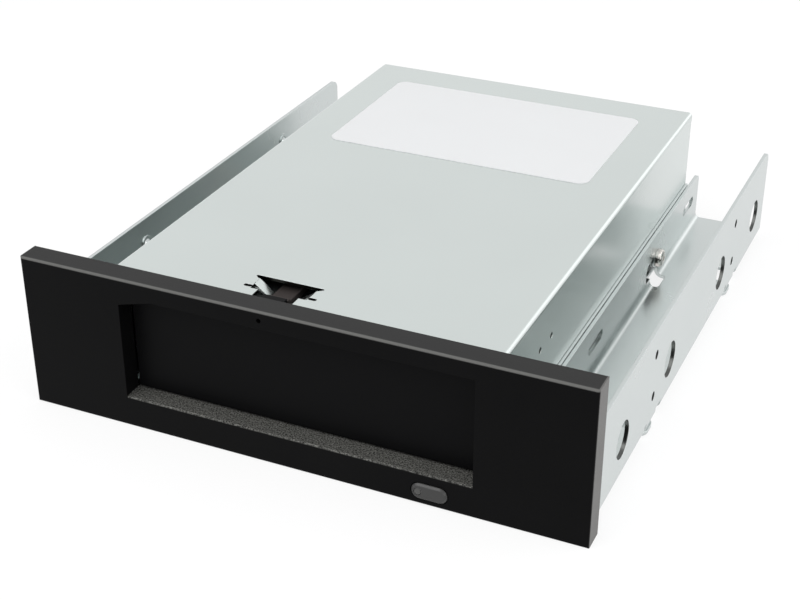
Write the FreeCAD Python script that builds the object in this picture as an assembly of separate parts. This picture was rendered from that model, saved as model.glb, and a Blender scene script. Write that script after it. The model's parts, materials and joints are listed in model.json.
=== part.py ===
import FreeCAD, Part
import math
import os

os.makedirs("parts", exist_ok=True)

# Internal dock for removable disk cartridges: a 3.5 inch wide folded steel chassis with a
# 5.25 inch half-height bezel and two adapter brackets.
# While a piece is modelled, X runs to the right, Y runs back from the bezel's face and Z runs
# up from the bezel's lower edge. Each piece is then moved so that the origin is the middle of
# the bottom of the whole object.

Vector = FreeCAD.Vector

# Bezel
BEZEL_W = 148.0
BEZEL_H = 41.6
BEZEL_T = 6.3
BEZEL_WALL = 2.2
BEZEL_RIM = 1.8
BEZEL_EDGE_R = 0.6
OPENING_BOTTOM = 8.5
OPENING_TOP_BORDER = 4.65
OPENING_SHIFT = -0.1
OPENING_LEAD = 2.5
OPENING_SLOPE_W = 9.2
OPENING_SLOPE_H = 2.45
COLLAR_WALL = 1.6
RECESS = 5.2
LEDGE_BEVEL = 0.5

# Flap door
DOOR_T = 1.8
DOOR_SIDE_GAP = 0.5
DOOR_END_GAP = 0.4
HINGE_Y = 7.6
HINGE_DROP = 1.35
HINGE_PIN_R = 0.8
RUNNING_GAP = 0.06
KNUCKLE_R = 1.4
KNUCKLE_L = 4.0
EAR_R = 2.2
DOOR_SPRING_R = 1.45
DOOR_SPRING_WIRE = 0.4
DOOR_SPRING_TURNS = 4
DOOR_SPRING_PITCH = 1.2

# Eject button, its light and its switch
BUTTON_X = 35.4
BUTTON_Z = 3.75
BUTTON_W = 9.1
BUTTON_H = 4.3
BUTTON_PROUD = 0.6
BUTTON_GAP = 0.2
BUTTON_TRAVEL = 0.6
BUTTON_CROWN = 0.5
LENS_R = 0.95
LENS_OFFSET = 2.8
STEM_OFFSET = 1.1
PLUNGER_R = 0.8

# Emergency release
RELEASE_X = -7.65
PINHOLE_DROP = 2.5
PINHOLE_R = 0.6
RELEASE_BOSS_W = 6.0
RELEASE_BOSS_BACK = 8.5
SLIDE_W = 5.1
SLIDE_T = 1.9
SLIDE_TRAVEL = 4.0
SLIDE_TAIL = 6.5
GUIDES_Y = (32.0, 88.0)
SHOULDER_Y = 60.0
SHOULDER_T = 1.5
RELEASE_SPRING_R = 0.75
RELEASE_SPRING_TURNS = 6
SPRING_TAB_Y = 76.0
TAB_T = 0.6
RACK_TEETH = 6

# Chassis: base pan and top cover
CHASSIS_W = 101.6
CHASSIS_BELOW_BEZEL = 0.2
CHASSIS_BOTTOM = 3.7
CHASSIS_FRONT = 6.5
CHASSIS_BACK = 160.0
SHEET = 0.8
PAN_SHEET = 0.7
SEAM = 0.05
COVER_SIDE_BOTTOM = 15.0
COVER_TAIL_H = 7.4
COVER_EDGE_R = 1.3
COVER_BACK_R = 0.5
COVER_SCREW_X = 36.0
COVER_SCREW_DROP = 5.2
PAN_SIDE_TOP = 18.7
PAN_BACK_DROP = 3.0
PAN_EDGE_R = 1.2
BRACKET_SCREW_Z = 10.05
BRACKET_SCREWS_Y = (22.9, 124.5)
SCREW_BOSS_R = 3.1
SCREW_BOSS_DEPTH = 1.2
REAR_CORNER_GAP = 0.3
SNAP_Z = (9.0, 14.4)
SNAP_REACH = 14.2
SNAP_T = 1.3
COVER_HOLES_Y = (28.7, 36.5)
COVER_HOLES_Z = 30.15
COVER_HOLE_R = 0.85

# Cut-out in the cover's front edge: half widths against the distance from the bezel's face
CUT_BACK = 16.1
CUT_SHOULDER = 9.7
CUT_BACK_HALF = 9.1
CUT_NECK_HALF = 7.75
CUT_SHOULDER_HALF = 7.4
CUT_FRONT_HALF = 5.35
LIP_FRONT = 12.0
LIP_BACK = 14.8
LIP_END_HALF = 3.6
LIP_END_Z = 38.4
RELIEF_Y = 10.6
RELIEF_R = 0.55

# Label on the cover
LABEL_X = (-39.0, 38.4)
LABEL_L = 50.5
LABEL_BACK_GAP = 12.2
LABEL_R = 3.0
LABEL_T = 0.12

# Adapter brackets
BRACKET_W = 146.0
BRACKET_SHEET = 1.0
BRACKET_GAP = 0.1
BRACKET_BOTTOM = 2.7
BRACKET_INNER_TOP = 18.3
BRACKET_OUTER_TOP = 29.6
BRACKET_OVERHANG = 8.7
BRACKET_BEND_R = 1.6
BRACKET_OUTER_CORNER_R = 3.0
BRACKET_INNER_CORNER_R = 2.0
MOUNT_FRONT_Y = 50.9
MOUNT_PITCH_Y = 79.25
MOUNT_LOW_Z = 10.6
MOUNT_PITCH_Z = 11.84
MOUNT_HOLE_R = 1.25
MOUNT_COLLAR_R = 2.1
MOUNT_COLLAR_L = 0.3
BOTTOM_HOLE_INSET = 3.15
PAD_Z = 0.6
PAD_L = 7.8
PAD_W = 7.8
PAD_CORNER_R = 2.6
NOTCH_L = 4.2
NOTCH_TOP = 4.9
ROUND_HOLES_Y = (25.3, 65.0, 116.0)
LAST_ROUND_HOLE_GAP = 12.7
ROUND_HOLE_Z = 13.5
ROUND_HOLE_R = 4.8
SLOT_Z = 11.9
SLOT_R = 1.5
FRONT_SLOT_Y = (62.0, 73.7)
BACK_SLOT_GAP = (16.4, 5.5)
ARCH_Y = (-10.1, 4.9)
ARCH_BOTTOM = 5.9
ARCH_TOP = 11.4
ARCH_R = 2.0
TONGUE_HALF = 2.9
BRACKET_SCREW_HOLE_R = 1.7
FLOOR_WINDOW_Y = (-6.0, 1.8)
FLOOR_WINDOW_W = 2.6
FLOOR_WINDOW_R = 1.2

# Cartridge slot
PLATE_T = 0.6
FLOOR_DROP = 0.3
PLATE_FRONT = 7.0
PLATE_GAP = 1.4
FRAME_TO_BACK = 29.0
FRAME_T = 1.0
RAIL_W = 5.0
RAIL_WALL = 1.6
RAIL_FRONT = 36.0
RAIL_FLARE = 5.0
RAIL_SLOT_H = 3.0
FIT = 0.1

# Latch lever over the slot's ceiling
LEVER_X = 16.0
LEVER_TO_FRAME = 19.0
LEVER_T = 1.4
LEVER_HUB_R = 4.0
PIVOT_R = 1.5
LEVER_REACH = 19.6
LEVER_HALF = 4.0
TOOTH_TO_LEVER = 12.0
TOOTH_DROP = 5.9
TOOTH_THROW = 2.9
NOSE_R = 1.4
LATCH_TAB_REACH = 20.0
LATCH_SPRING_TURNS = 6

# Ejector carriage
CARRIAGE_BEHIND_TOOTH = 4.0
CARRIAGE_DEPTH = 4.0
CARRIAGE_H = 8.0
CARRIAGE_BELOW_CEILING = 11.4
CARRIAGE_TRAVEL = 18.0
EJECT_SPRING_INSET = 1.8
EJECT_SPRING_R = 1.2
EJECT_SPRING_TURNS = 7

# Gear train that pulls the release slide
RACK_MODULE = 0.6
RACK_PINION_TEETH = 14
GEAR_MODULE = 0.5
WHEEL_TEETH = 32
MOTOR_TEETH = 10
BACKLASH = 0.1
RACK_BEHIND_FRAME = 11.0
SHELF_BELOW_SLIDE = 11.4
WHEEL_ABOVE_SHELF = 2.3
WHEEL_T = 2.2
GEAR_SHAFT_R = 1.0
MOTOR_R = 6.0
MOTOR_FLAT = 5.0
MOTOR_ABOVE_BOARD = 1.8
MOTOR_SHAFT_R = 0.75

# Circuit boards and connectors
STANDOFF_H = 0.7
BOARD_T = 1.2
BOARD_SIDE_GAP = 4.4
BOARD_FRONT = 13.0
BOARD_BACK_GAP = 6.0
BOARD_HOLE_INSET = 2.2
BOARD_HOLES_Y = (20.0, 122.0)
REAR_SOCKET_W = 41.0
REAR_SOCKET_DEPTH = 11.0
REAR_SOCKET_INSET = 0.4
REAR_SOCKET_H = 6.0
CONNECTOR_HALF = 16.8
CONNECTOR_FRONT = 6.5
CONNECTOR_H = 6.0
CONNECTOR_ABOVE_FLOOR = 3.8
BACKPLANE_SCREW_X = 20.0
BOARD_POSTS_X = (24.2, 44.6)

# Places that follow from the sizes above
CHASSIS_X = CHASSIS_W / 2
CHASSIS_TOP = BEZEL_H - CHASSIS_BELOW_BEZEL
PAN_INNER_X = CHASSIS_X + SEAM
PAN_X = PAN_INNER_X + PAN_SHEET
PAN_BACK = CHASSIS_BACK - SHEET - SEAM
PAN_FLOOR = CHASSIS_BOTTOM + PAN_SHEET
PAN_BACK_TOP = CHASSIS_TOP - PAN_BACK_DROP
COVER_SCREW_Z = CHASSIS_TOP - COVER_SCREW_DROP
BRACKET_X = BRACKET_W / 2
BRACKET_INNER_FACE = PAN_X + BRACKET_GAP
BRACKET_BACK = CHASSIS_BACK + BRACKET_OVERHANG
PAD_INNER_X = BRACKET_X - PAD_W
LABEL_Y = (CHASSIS_BACK - LABEL_BACK_GAP - LABEL_L, CHASSIS_BACK - LABEL_BACK_GAP)
PLATE_X = CHASSIS_X - SHEET - PLATE_GAP
SLOT_X = PLATE_X - RAIL_W
OPENING_HALF = SLOT_X + OPENING_LEAD
OPENING_X = (OPENING_SHIFT - OPENING_HALF, OPENING_SHIFT + OPENING_HALF)
OPENING_TOP = BEZEL_H - OPENING_TOP_BORDER
DOOR_X = (OPENING_X[0] + DOOR_SIDE_GAP, OPENING_X[1] - DOOR_SIDE_GAP)
DOOR_Z = (OPENING_BOTTOM + DOOR_END_GAP, OPENING_TOP - DOOR_END_GAP)
HINGE_Z = OPENING_TOP - HINGE_DROP
PINHOLE_Z = BEZEL_H - PINHOLE_DROP
FLOOR_TOP = OPENING_BOTTOM - FLOOR_DROP
CEILING_BOTTOM = OPENING_TOP - SEAM
CEILING_TOP = CEILING_BOTTOM + PLATE_T
FRAME_Y = CHASSIS_BACK - FRAME_TO_BACK
PLATE_BACK = FRAME_Y - FIT
BOARD_Z = PAN_FLOOR + STANDOFF_H
BOARD_TOP = BOARD_Z + BOARD_T
BOARD_X = PLATE_X - BOARD_SIDE_GAP
BOARD_BACK = CHASSIS_BACK - BOARD_BACK_GAP
CONNECTOR_Z = (FLOOR_TOP + CONNECTOR_ABOVE_FLOOR, FLOOR_TOP + CONNECTOR_ABOVE_FLOOR + CONNECTOR_H)
BACKPLANE_Y = FRAME_Y + FRAME_T + 0.4
BOARD_HOLES = [(side * (BOARD_X - BOARD_HOLE_INSET), y) for side in (-1, 1) for y in BOARD_HOLES_Y]
REAR_SOCKET_X = (-BOARD_X + 0.2, -BOARD_X + 0.2 + REAR_SOCKET_W)
REAR_SOCKET_BACK = CHASSIS_BACK - REAR_SOCKET_INSET
REAR_SOCKET_FRONT = REAR_SOCKET_BACK - REAR_SOCKET_DEPTH
SLIDE_BOTTOM = CEILING_TOP + 0.25
SLIDE_TOP = SLIDE_BOTTOM + SLIDE_T
SLIDE_X = (RELEASE_X - SLIDE_W / 2, RELEASE_X + SLIDE_W / 2)
TAB_TOP = SLIDE_TOP + 0.4
RACK_Y = FRAME_Y + RACK_BEHIND_FRAME
SLIDE_END = RACK_Y + SLIDE_TAIL
RACK_PITCH_X = SLIDE_X[0] - 1.25 * RACK_MODULE
GEAR_X = RACK_PITCH_X - RACK_MODULE * RACK_PINION_TEETH / 2
MOTOR_X = GEAR_X + GEAR_MODULE * (WHEEL_TEETH + MOTOR_TEETH) / 2
SHELF_Z = SLIDE_BOTTOM - SHELF_BELOW_SLIDE
BACKPLANE_Z = (FLOOR_TOP + 0.8, SHELF_Z - 1.35)
WHEEL_BOTTOM = SHELF_Z + WHEEL_ABOVE_SHELF
MOTOR_BOTTOM = BOARD_TOP + MOTOR_ABOVE_BOARD
LEVER_Y = FRAME_Y - LEVER_TO_FRAME
LEVER_Z = CEILING_TOP + 0.3
NOSE_X = LEVER_X - LEVER_REACH
TOOTH_Y = LEVER_Y - TOOTH_TO_LEVER
TOOTH_BOTTOM = CEILING_BOTTOM - TOOTH_DROP
CARRIAGE_Y = TOOTH_Y + CARRIAGE_BEHIND_TOOTH
CARRIAGE_MIDDLE = CEILING_BOTTOM - CARRIAGE_BELOW_CEILING
CARRIAGE_Z = (CARRIAGE_MIDDLE - CARRIAGE_H / 2, CARRIAGE_MIDDLE + CARRIAGE_H / 2)
RAIL_SLOT = (CARRIAGE_MIDDLE - RAIL_SLOT_H / 2, CARRIAGE_MIDDLE + RAIL_SLOT_H / 2)
EJECT_SPRING_X = PLATE_X - EJECT_SPRING_INSET
MIDDLE_Y = (BRACKET_BACK - BUTTON_PROUD) / 2


def box(x, y, z):
    """Block between pairs of limits."""
    size = [limits[1] - limits[0] for limits in (x, y, z)]
    return Part.makeBox(*size, Vector(x[0], y[0], z[0]))


def rod(radius, start, end):
    """Round bar from one point to another."""
    start, end = Vector(*start), Vector(*end)
    return Part.makeCylinder(radius, (end - start).Length, start, end - start)


def prism(points, low, high, axis="Z"):
    """Straight prism on an outline. The outline's two axes are the other two, in order."""
    place = {"X": lambda a, b: Vector(low, a, b),
             "Y": lambda a, b: Vector(a, low, b),
             "Z": lambda a, b: Vector(a, b, low)}[axis]
    along = {"X": Vector(1, 0, 0), "Y": Vector(0, 1, 0), "Z": Vector(0, 0, 1)}[axis]
    corners = [place(*point) for point in points]
    return Part.Face(Part.makePolygon(corners + corners[:1])).extrude(along * (high - low))


def pill(middle, width, height, low, high, axis="Y"):
    """Bar with an oblong section: a straight middle with round ends."""
    radius = height / 2
    half = width / 2 - radius
    a, b = middle
    if axis == "Y":
        core = box((a - half, a + half), (low, high), (b - radius, b + radius))
        ends = [rod(radius, (a + s * half, low, b), (a + s * half, high, b)) for s in (-1, 1)]
    elif axis == "X":
        core = box((low, high), (a - half, a + half), (b - radius, b + radius))
        ends = [rod(radius, (low, a + s * half, b), (high, a + s * half, b)) for s in (-1, 1)]
    else:
        core = box((a - half, a + half), (b - radius, b + radius), (low, high))
        ends = [rod(radius, (a + s * half, b, low), (a + s * half, b, high)) for s in (-1, 1)]
    return core.fuse(ends).removeSplitter()


def edges_at(shape, x=None, y=None, z=None):
    """Edges that lie wholly at the given coordinates."""
    found = []
    for edge in shape.Edges:
        limits = edge.BoundBox
        tests = ((x, limits.XMin, limits.XMax), (y, limits.YMin, limits.YMax),
                 (z, limits.ZMin, limits.ZMax))
        if all(v is None or abs(a - v) + abs(b - v) < 0.002 for v, a, b in tests):
            found.append(edge)
    return found


def rounded(shape, radius, **where):
    return shape.makeFillet(radius, edges_at(shape, **where))


def mirrored(shape):
    return shape.mirror(Vector(0, 0, 0), Vector(1, 0, 0))


def coil(radius, wire, pitch, turns, start, direction):
    """Coil spring. Its wire is eight-sided, with the section area of the round wire."""
    helix = Part.makeHelix(pitch, pitch * turns, radius)
    corner_r = wire / 2 * math.sqrt(math.pi / (2 * math.sqrt(2)))
    corners = [Vector(radius + corner_r * math.cos(math.pi * k / 4), 0,
                      corner_r * math.sin(math.pi * k / 4)) for k in range(8)]
    ring = Part.makePolygon(corners + corners[:1])
    spring = Part.Wire(helix.Edges).makePipeShell([ring], True, True)
    spring.Placement = FreeCAD.Placement(
        Vector(*start), FreeCAD.Rotation(Vector(0, 0, 1), Vector(*direction)))
    return spring


def turned(profile):
    """Solid of revolution about Z, from (radius, height) points that run from axis to axis."""
    points = [Vector(r, 0, z) for r, z in profile]
    return Part.Face(Part.makePolygon(points + points[:1])).revolve(
        Vector(0, 0, 0), Vector(0, 0, 1), 360)


def pan_screw(head_at, direction, thread_r, length, head_r, head_h, recess=True):
    """Pan-head screw. It points along direction, and head_at is under its head."""
    screw = turned([(0, -length), (thread_r, -length), (thread_r, 0), (head_r, 0),
                    (head_r, head_h * 0.5), (head_r * 0.85, head_h * 0.85),
                    (head_r * 0.55, head_h), (0, head_h)])
    if recess:
        arm, wide = head_r * 0.5, head_r * 0.13
        deep = (head_h * 0.45, head_h + 1)
        screw = screw.cut([box((-arm, arm), (-wide, wide), deep),
                           box((-wide, wide), (-arm, arm), deep)])
    screw.Placement = FreeCAD.Placement(
        Vector(*head_at), FreeCAD.Rotation(Vector(0, 0, -1), Vector(*direction)))
    return screw


def gear_outline(teeth, module, middle, turned):
    """Involute spur gear seen from above, with a tooth on the direction turned."""
    pressure = math.radians(20)
    pitch_r = teeth * module / 2
    base_r = pitch_r * math.cos(pressure)
    tip_r = pitch_r + 0.95 * module
    root_r = pitch_r - 1.25 * module
    half_at_pitch = math.pi / (2 * teeth) - BACKLASH / (2 * pitch_r)

    def half_angle(radius):
        if radius <= base_r:
            return half_at_pitch + math.tan(pressure) - pressure
        roll = math.acos(base_r / radius)
        return half_at_pitch + math.tan(pressure) - pressure - (math.tan(roll) - roll)

    radii = (root_r, max(base_r, root_r + 0.05), pitch_r, (pitch_r + tip_r) / 2, tip_r)
    outline = []
    for tooth in range(teeth):
        centre = turned + 2 * math.pi * tooth / teeth
        flank = [(radius, half_angle(radius)) for radius in radii]
        for radius, half in flank:
            outline.append((radius, centre - half))
        for radius, half in reversed(flank):
            outline.append((radius, centre + half))
    return [(middle[0] + r * math.cos(a), middle[1] + r * math.sin(a)) for r, a in outline]


def front_bezel():
    bezel = box((-BEZEL_W / 2, BEZEL_W / 2), (0, BEZEL_T), (0, BEZEL_H))
    bezel = rounded(bezel, BEZEL_EDGE_R, y=0)
    inner_x, inner_z = BEZEL_W / 2 - BEZEL_RIM, (BEZEL_RIM, BEZEL_H - BEZEL_RIM)
    bezel = bezel.cut(box((-inner_x, inner_x), (BEZEL_WALL, BEZEL_T + 1), inner_z))
    collar_x = (OPENING_X[0] - COLLAR_WALL, OPENING_X[1] + COLLAR_WALL)
    collar = box(collar_x, (BEZEL_WALL, RECESS),
                 (OPENING_BOTTOM - COLLAR_WALL, OPENING_TOP + COLLAR_WALL))
    ledge = box(collar_x, (BEZEL_WALL, BEZEL_T),
                (OPENING_BOTTOM - COLLAR_WALL, OPENING_BOTTOM))
    pieces = [collar, ledge, pinhole_boss()] + hinge_ears() + side_ribs() + snap_arms()
    bezel = bezel.fuse(pieces + board_posts())
    left, right = OPENING_X
    opening = prism([(left, OPENING_BOTTOM), (right, OPENING_BOTTOM), (right, OPENING_TOP),
                     (left + OPENING_SLOPE_W, OPENING_TOP),
                     (left, OPENING_TOP - OPENING_SLOPE_H)], -1, BEZEL_T, "Y")
    bevel = prism([(-1, OPENING_BOTTOM + 0.01), (LEDGE_BEVEL, OPENING_BOTTOM + 0.01),
                   (0, OPENING_BOTTOM - LEDGE_BEVEL), (-1, OPENING_BOTTOM - LEDGE_BEVEL)],
                  left, right, "X")
    button_hole = pill((BUTTON_X, BUTTON_Z), BUTTON_W + 2 * BUTTON_GAP,
                       BUTTON_H + 2 * BUTTON_GAP, -1, BEZEL_WALL + 0.1)
    button_room = pill((BUTTON_X, BUTTON_Z), BUTTON_W + 2.4, BUTTON_H + 1.5, BEZEL_WALL,
                       RECESS - 0.2)
    pinhole = rod(PINHOLE_R, (RELEASE_X, -1, PINHOLE_Z), (RELEASE_X, BEZEL_T + 5, PINHOLE_Z))
    pin_bore = rod(HINGE_PIN_R, (collar_x[0] - 1, HINGE_Y, HINGE_Z),
                   (collar_x[1] + 1, HINGE_Y, HINGE_Z))
    return bezel.cut([opening, bevel, button_hole, button_room, pinhole, pin_bore]).removeSplitter()


def pinhole_boss():
    half = RELEASE_BOSS_W / 2
    return box((RELEASE_X - half, RELEASE_X + half), (BEZEL_WALL, RELEASE_BOSS_BACK),
               (SLIDE_BOTTOM, CHASSIS_TOP - 0.1))


def hinge_ears():
    """Two ears that carry the door's pin, at the top corners of the collar."""
    ears = []
    for low in (OPENING_X[0] - COLLAR_WALL, OPENING_X[1]):
        x = (low, low + COLLAR_WALL)
        arm = box(x, (BEZEL_WALL, HINGE_Y), (HINGE_Z - EAR_R, HINGE_Z + EAR_R))
        ears += [arm, rod(EAR_R, (x[0], HINGE_Y, HINGE_Z), (x[1], HINGE_Y, HINGE_Z))]
    return ears


def side_ribs():
    """Stiffening ribs in the hollow wings of the bezel."""
    ribs = []
    start, end = OPENING_HALF + COLLAR_WALL, BEZEL_W / 2 - BEZEL_RIM
    for side in (-1, 1):
        for share in (1 / 3, 2 / 3):
            x = side * (start + (end - start) * share)
            ribs.append(box((x - 0.6, x + 0.6), (BEZEL_WALL - 0.1, BEZEL_T - 0.6),
                            (BEZEL_RIM, BEZEL_H - BEZEL_RIM)))
    return ribs


def snap_arms():
    """Arms that reach into the chassis and click into windows in the pan's side walls."""
    outer = PAN_INNER_X - 0.15
    arm = box((outer - SNAP_T, outer), (BEZEL_WALL - 0.1, SNAP_REACH), SNAP_Z)
    hook = prism([(outer, SNAP_REACH - 2.2), (PAN_X - 0.05, SNAP_REACH - 1.6), (outer, SNAP_REACH)],
                 SNAP_Z[0] + 0.4, SNAP_Z[1] - 0.4)
    return [arm, hook, mirrored(arm), mirrored(hook)]


def board_posts():
    """Two posts that carry the front board."""
    posts = []
    for x in BOARD_POSTS_X:
        posts.append(rod(1.3, (x, BEZEL_WALL, BUTTON_Z), (x, RECESS, BUTTON_Z)))
        posts.append(rod(0.7, (x, RECESS, BUTTON_Z), (x, BEZEL_T, BUTTON_Z)))
    return posts


def door_flap():
    front, back = RECESS, RECESS + DOOR_T
    door = box(DOOR_X, (front, back), DOOR_Z)
    door = door.makeFillet(0.6, edges_at(door, y=front, z=DOOR_Z[0]))
    door = door.makeFillet(1.0, edges_at(door, y=front, z=DOOR_Z[1]))
    pocket = box((DOOR_X[0] + KNUCKLE_L, DOOR_X[0] + 2.9 * KNUCKLE_L), (front + 0.5, back + 1),
                 (HINGE_Z - 2.2, DOOR_Z[1] + 1))
    stops = [box((x - 0.5, x + 0.5), (back, back + 0.8), (DOOR_Z[0] + 2, HINGE_Z - 4))
             for x in (-30.0, 0.0, 30.0)]
    knuckles = [rod(KNUCKLE_R, (x, HINGE_Y, HINGE_Z), (x + KNUCKLE_L, HINGE_Y, HINGE_Z))
                for x in (DOOR_X[0], DOOR_X[0] + 2.9 * KNUCKLE_L, DOOR_X[1] - KNUCKLE_L)]
    bore = rod(HINGE_PIN_R + RUNNING_GAP, (DOOR_X[0] - 1, HINGE_Y, HINGE_Z),
               (DOOR_X[1] + 1, HINGE_Y, HINGE_Z))
    return door.cut(pocket).fuse(knuckles + stops).cut(bore).removeSplitter()


def door_hinge_pin():
    return rod(HINGE_PIN_R, (OPENING_X[0] - COLLAR_WALL, HINGE_Y, HINGE_Z),
               (OPENING_X[1] + COLLAR_WALL, HINGE_Y, HINGE_Z))


def door_spring():
    """Torsion spring on the hinge pin: one leg on the door's back, one leg up to the ceiling."""
    start = DOOR_X[0] + KNUCKLE_L + 1.0
    end = start + DOOR_SPRING_PITCH * DOOR_SPRING_TURNS
    wire = DOOR_SPRING_WIRE / 2
    winding = coil(DOOR_SPRING_R, DOOR_SPRING_WIRE, DOOR_SPRING_PITCH, DOOR_SPRING_TURNS,
                   (start, HINGE_Y, HINGE_Z), (1, 0, 0))
    leg_y = RECESS + DOOR_T + wire + 0.05
    lower = rod(wire, (start - 0.3, leg_y, HINGE_Z - 9), (start - 0.3, leg_y, HINGE_Z - 1.2))
    rear_y = HINGE_Y + DOOR_SPRING_R
    upper = rod(wire, (end + 0.3, rear_y, HINGE_Z), (end + 0.3, rear_y, CEILING_TOP + 1.5))
    return Part.makeCompound([winding, lower, upper])


def eject_button():
    middle = (BUTTON_X, BUTTON_Z)
    front = BEZEL_WALL + 0.2
    cap = pill(middle, BUTTON_W, BUTTON_H, -BUTTON_PROUD, front)
    cap = cap.makeChamfer(BUTTON_CROWN, edges_at(cap, y=-BUTTON_PROUD))
    flange = pill(middle, BUTTON_W + 1.6, BUTTON_H + 0.9, front, front + 0.8)
    stem = rod(1.2, (BUTTON_X + STEM_OFFSET, front + 0.8, BUTTON_Z),
               (BUTTON_X + STEM_OFFSET, front + 0.9, BUTTON_Z))
    lens = rod(LENS_R, (BUTTON_X - LENS_OFFSET, -1, BUTTON_Z),
               (BUTTON_X - LENS_OFFSET, front + 0.8, BUTTON_Z))
    return cap.fuse([flange, stem]).cut(lens).removeSplitter()


def button_lens():
    """Clear pin that carries the light to the button's face."""
    x = BUTTON_X - LENS_OFFSET
    lens = rod(LENS_R, (x, -BUTTON_PROUD, BUTTON_Z), (x, BEZEL_WALL + 1.0, BUTTON_Z))
    return lens.makeChamfer(0.25, edges_at(lens, y=-BUTTON_PROUD))


def switch_plunger():
    x, start = BUTTON_X + STEM_OFFSET, BEZEL_WALL + 1.1
    return rod(PLUNGER_R, (x, start, BUTTON_Z), (x, start + 1.2, BUTTON_Z))


def tact_switch():
    x, back = BUTTON_X + STEM_OFFSET, RECESS
    body = box((x - 2.2, x + 2.2), (back - 1.1, back), (BUTTON_Z - 1.6, BUTTON_Z + 1.6))
    body = body.makeChamfer(0.3, edges_at(body, y=back - 1.1))
    bore = rod(PLUNGER_R + RUNNING_GAP, (x, 0, BUTTON_Z), (x, back + 1, BUTTON_Z))
    return body.cut(bore)


def status_led():
    x = BUTTON_X - LENS_OFFSET
    base = box((x - 0.8, x + 0.8), (RECESS - 0.35, RECESS), (BUTTON_Z - 0.4, BUTTON_Z + 0.4))
    dome = box((x - 0.5, x + 0.5), (RECESS - 0.65, RECESS - 0.35),
               (BUTTON_Z - 0.4, BUTTON_Z + 0.4))
    return base.fuse(dome)


def front_board():
    board = box((BOARD_POSTS_X[0] - 2.4, BOARD_POSTS_X[1] + 2.4), (RECESS, RECESS + 1.0),
                (BEZEL_RIM + 0.2, OPENING_BOTTOM - COLLAR_WALL - 0.1))
    holes = [rod(0.7 + RUNNING_GAP, (x, 0, BUTTON_Z), (x, RECESS + 2, BUTTON_Z))
             for x in BOARD_POSTS_X]
    return board.cut(holes)


def front_flex():
    """Flat flex from the front board to its connector on the main board."""
    low, high, thick = 5.3, BOARD_TOP + 0.5, 0.2
    start, end = RECESS + 1.0, BOARD_FRONT + 2.5
    lower = [(start, low), (start + 2, low), (end - 3, high), (end, high)]
    upper = [(y, z + thick) for y, z in reversed(lower)]
    return prism(lower + upper, 28.0, 36.0, "X")


def flex_connector():
    y = BOARD_FRONT + 1.5
    body = box((27.0, 37.0), (y, y + 3.5), (BOARD_TOP, BOARD_TOP + 1.0))
    mouth = box((27.9, 36.1), (y - 1, y + 1.0), (BOARD_TOP + 0.4, BOARD_TOP + 0.8))
    return body.cut(mouth)


def base_pan():
    """Pan with low side walls outside the cover's, and a rear wall that rises inside the cover."""
    pan = pan_shell()
    boss_inner = PAN_INNER_X - SCREW_BOSS_DEPTH
    for side in (-1, 1):
        for y in BRACKET_SCREWS_Y:
            pan = pan.cut(pan_arches(side, y))
            pan = pan.fuse(rod(SCREW_BOSS_R, (side * boss_inner, y, BRACKET_SCREW_Z),
                               (side * BRACKET_INNER_FACE, y, BRACKET_SCREW_Z)))
            pan = pan.cut(rod(MOUNT_HOLE_R, (side * (boss_inner - 1), y, BRACKET_SCREW_Z),
                              (side * (BRACKET_INNER_FACE + 1), y, BRACKET_SCREW_Z)))
    standoffs = [rod(2.5, (x, y, PAN_FLOOR), (x, y, BOARD_Z)) for x, y in BOARD_HOLES]
    pan = pan.fuse(standoffs)
    cuts = [rod(1.05, (x, y, 0), (x, y, BOARD_Z + 1)) for x, y in BOARD_HOLES]
    cuts += snap_windows() + rear_vents() + floor_vents() + cover_screw_holes(1.0)
    cuts += [rod(1.0, (x, y, 0), (x, y, PAN_FLOOR + 1)) for x, y in frame_feet()]
    x, z = REAR_SOCKET_X, BOARD_TOP
    cuts.append(box((x[0] - 0.3, x[1] + 0.3), (PAN_BACK - 3, PAN_BACK + 1),
                    (z - 0.2, z + REAR_SOCKET_H + 0.3)))
    return pan.cut(cuts).removeSplitter()


def pan_shell():
    pan = box((-PAN_X, PAN_X), (CHASSIS_FRONT, PAN_BACK), (CHASSIS_BOTTOM, PAN_SIDE_TOP))
    for side in (-1, 1):
        pan = rounded(pan, PAN_EDGE_R, x=side * PAN_X, z=CHASSIS_BOTTOM)
    hollow = box((-PAN_INNER_X, PAN_INNER_X), (CHASSIS_FRONT - 5, PAN_BACK - PAN_SHEET),
                 (PAN_FLOOR, PAN_SIDE_TOP + 1))
    for side in (-1, 1):
        hollow = rounded(hollow, PAN_EDGE_R - PAN_SHEET, x=side * PAN_INNER_X, z=PAN_FLOOR)
    pan = pan.cut(hollow)
    rear_x = CHASSIS_X - SHEET - SEAM
    rear_y = (PAN_BACK - PAN_SHEET, PAN_BACK)
    beside = [box(sorted((side * rear_x, side * PAN_INNER_X)), (rear_y[0] - 0.1, rear_y[1] + 1),
                  (COVER_SIDE_BOTTOM - REAR_CORNER_GAP, PAN_SIDE_TOP + 1)) for side in (-1, 1)]
    wall = box((-rear_x, rear_x), rear_y, (PAN_SIDE_TOP - 1, PAN_BACK_TOP))
    return pan.cut(beside).fuse(wall)


def pan_arches(side, y):
    """Openings in the pan's side wall behind the bracket's arched window."""
    wall = (PAN_INNER_X - 0.5, PAN_X + 1)
    arch = arch_outline(y, wall)
    core = rod(SCREW_BOSS_R, (wall[0] - 1, y, BRACKET_SCREW_Z), (wall[1] + 1, y, BRACKET_SCREW_Z))
    arch = arch.cut(core)
    return arch if side > 0 else mirrored(arch)


def arch_outline(y, x):
    """Round-topped block of the arched window's outline, between two limits in X."""
    arch = box(x, (y + ARCH_Y[0], y + ARCH_Y[1]), (ARCH_BOTTOM, ARCH_TOP))
    for corner_y in ARCH_Y:
        arch = arch.makeFillet(ARCH_R, edges_at(arch, y=y + corner_y, z=ARCH_TOP))
    return arch


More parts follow.
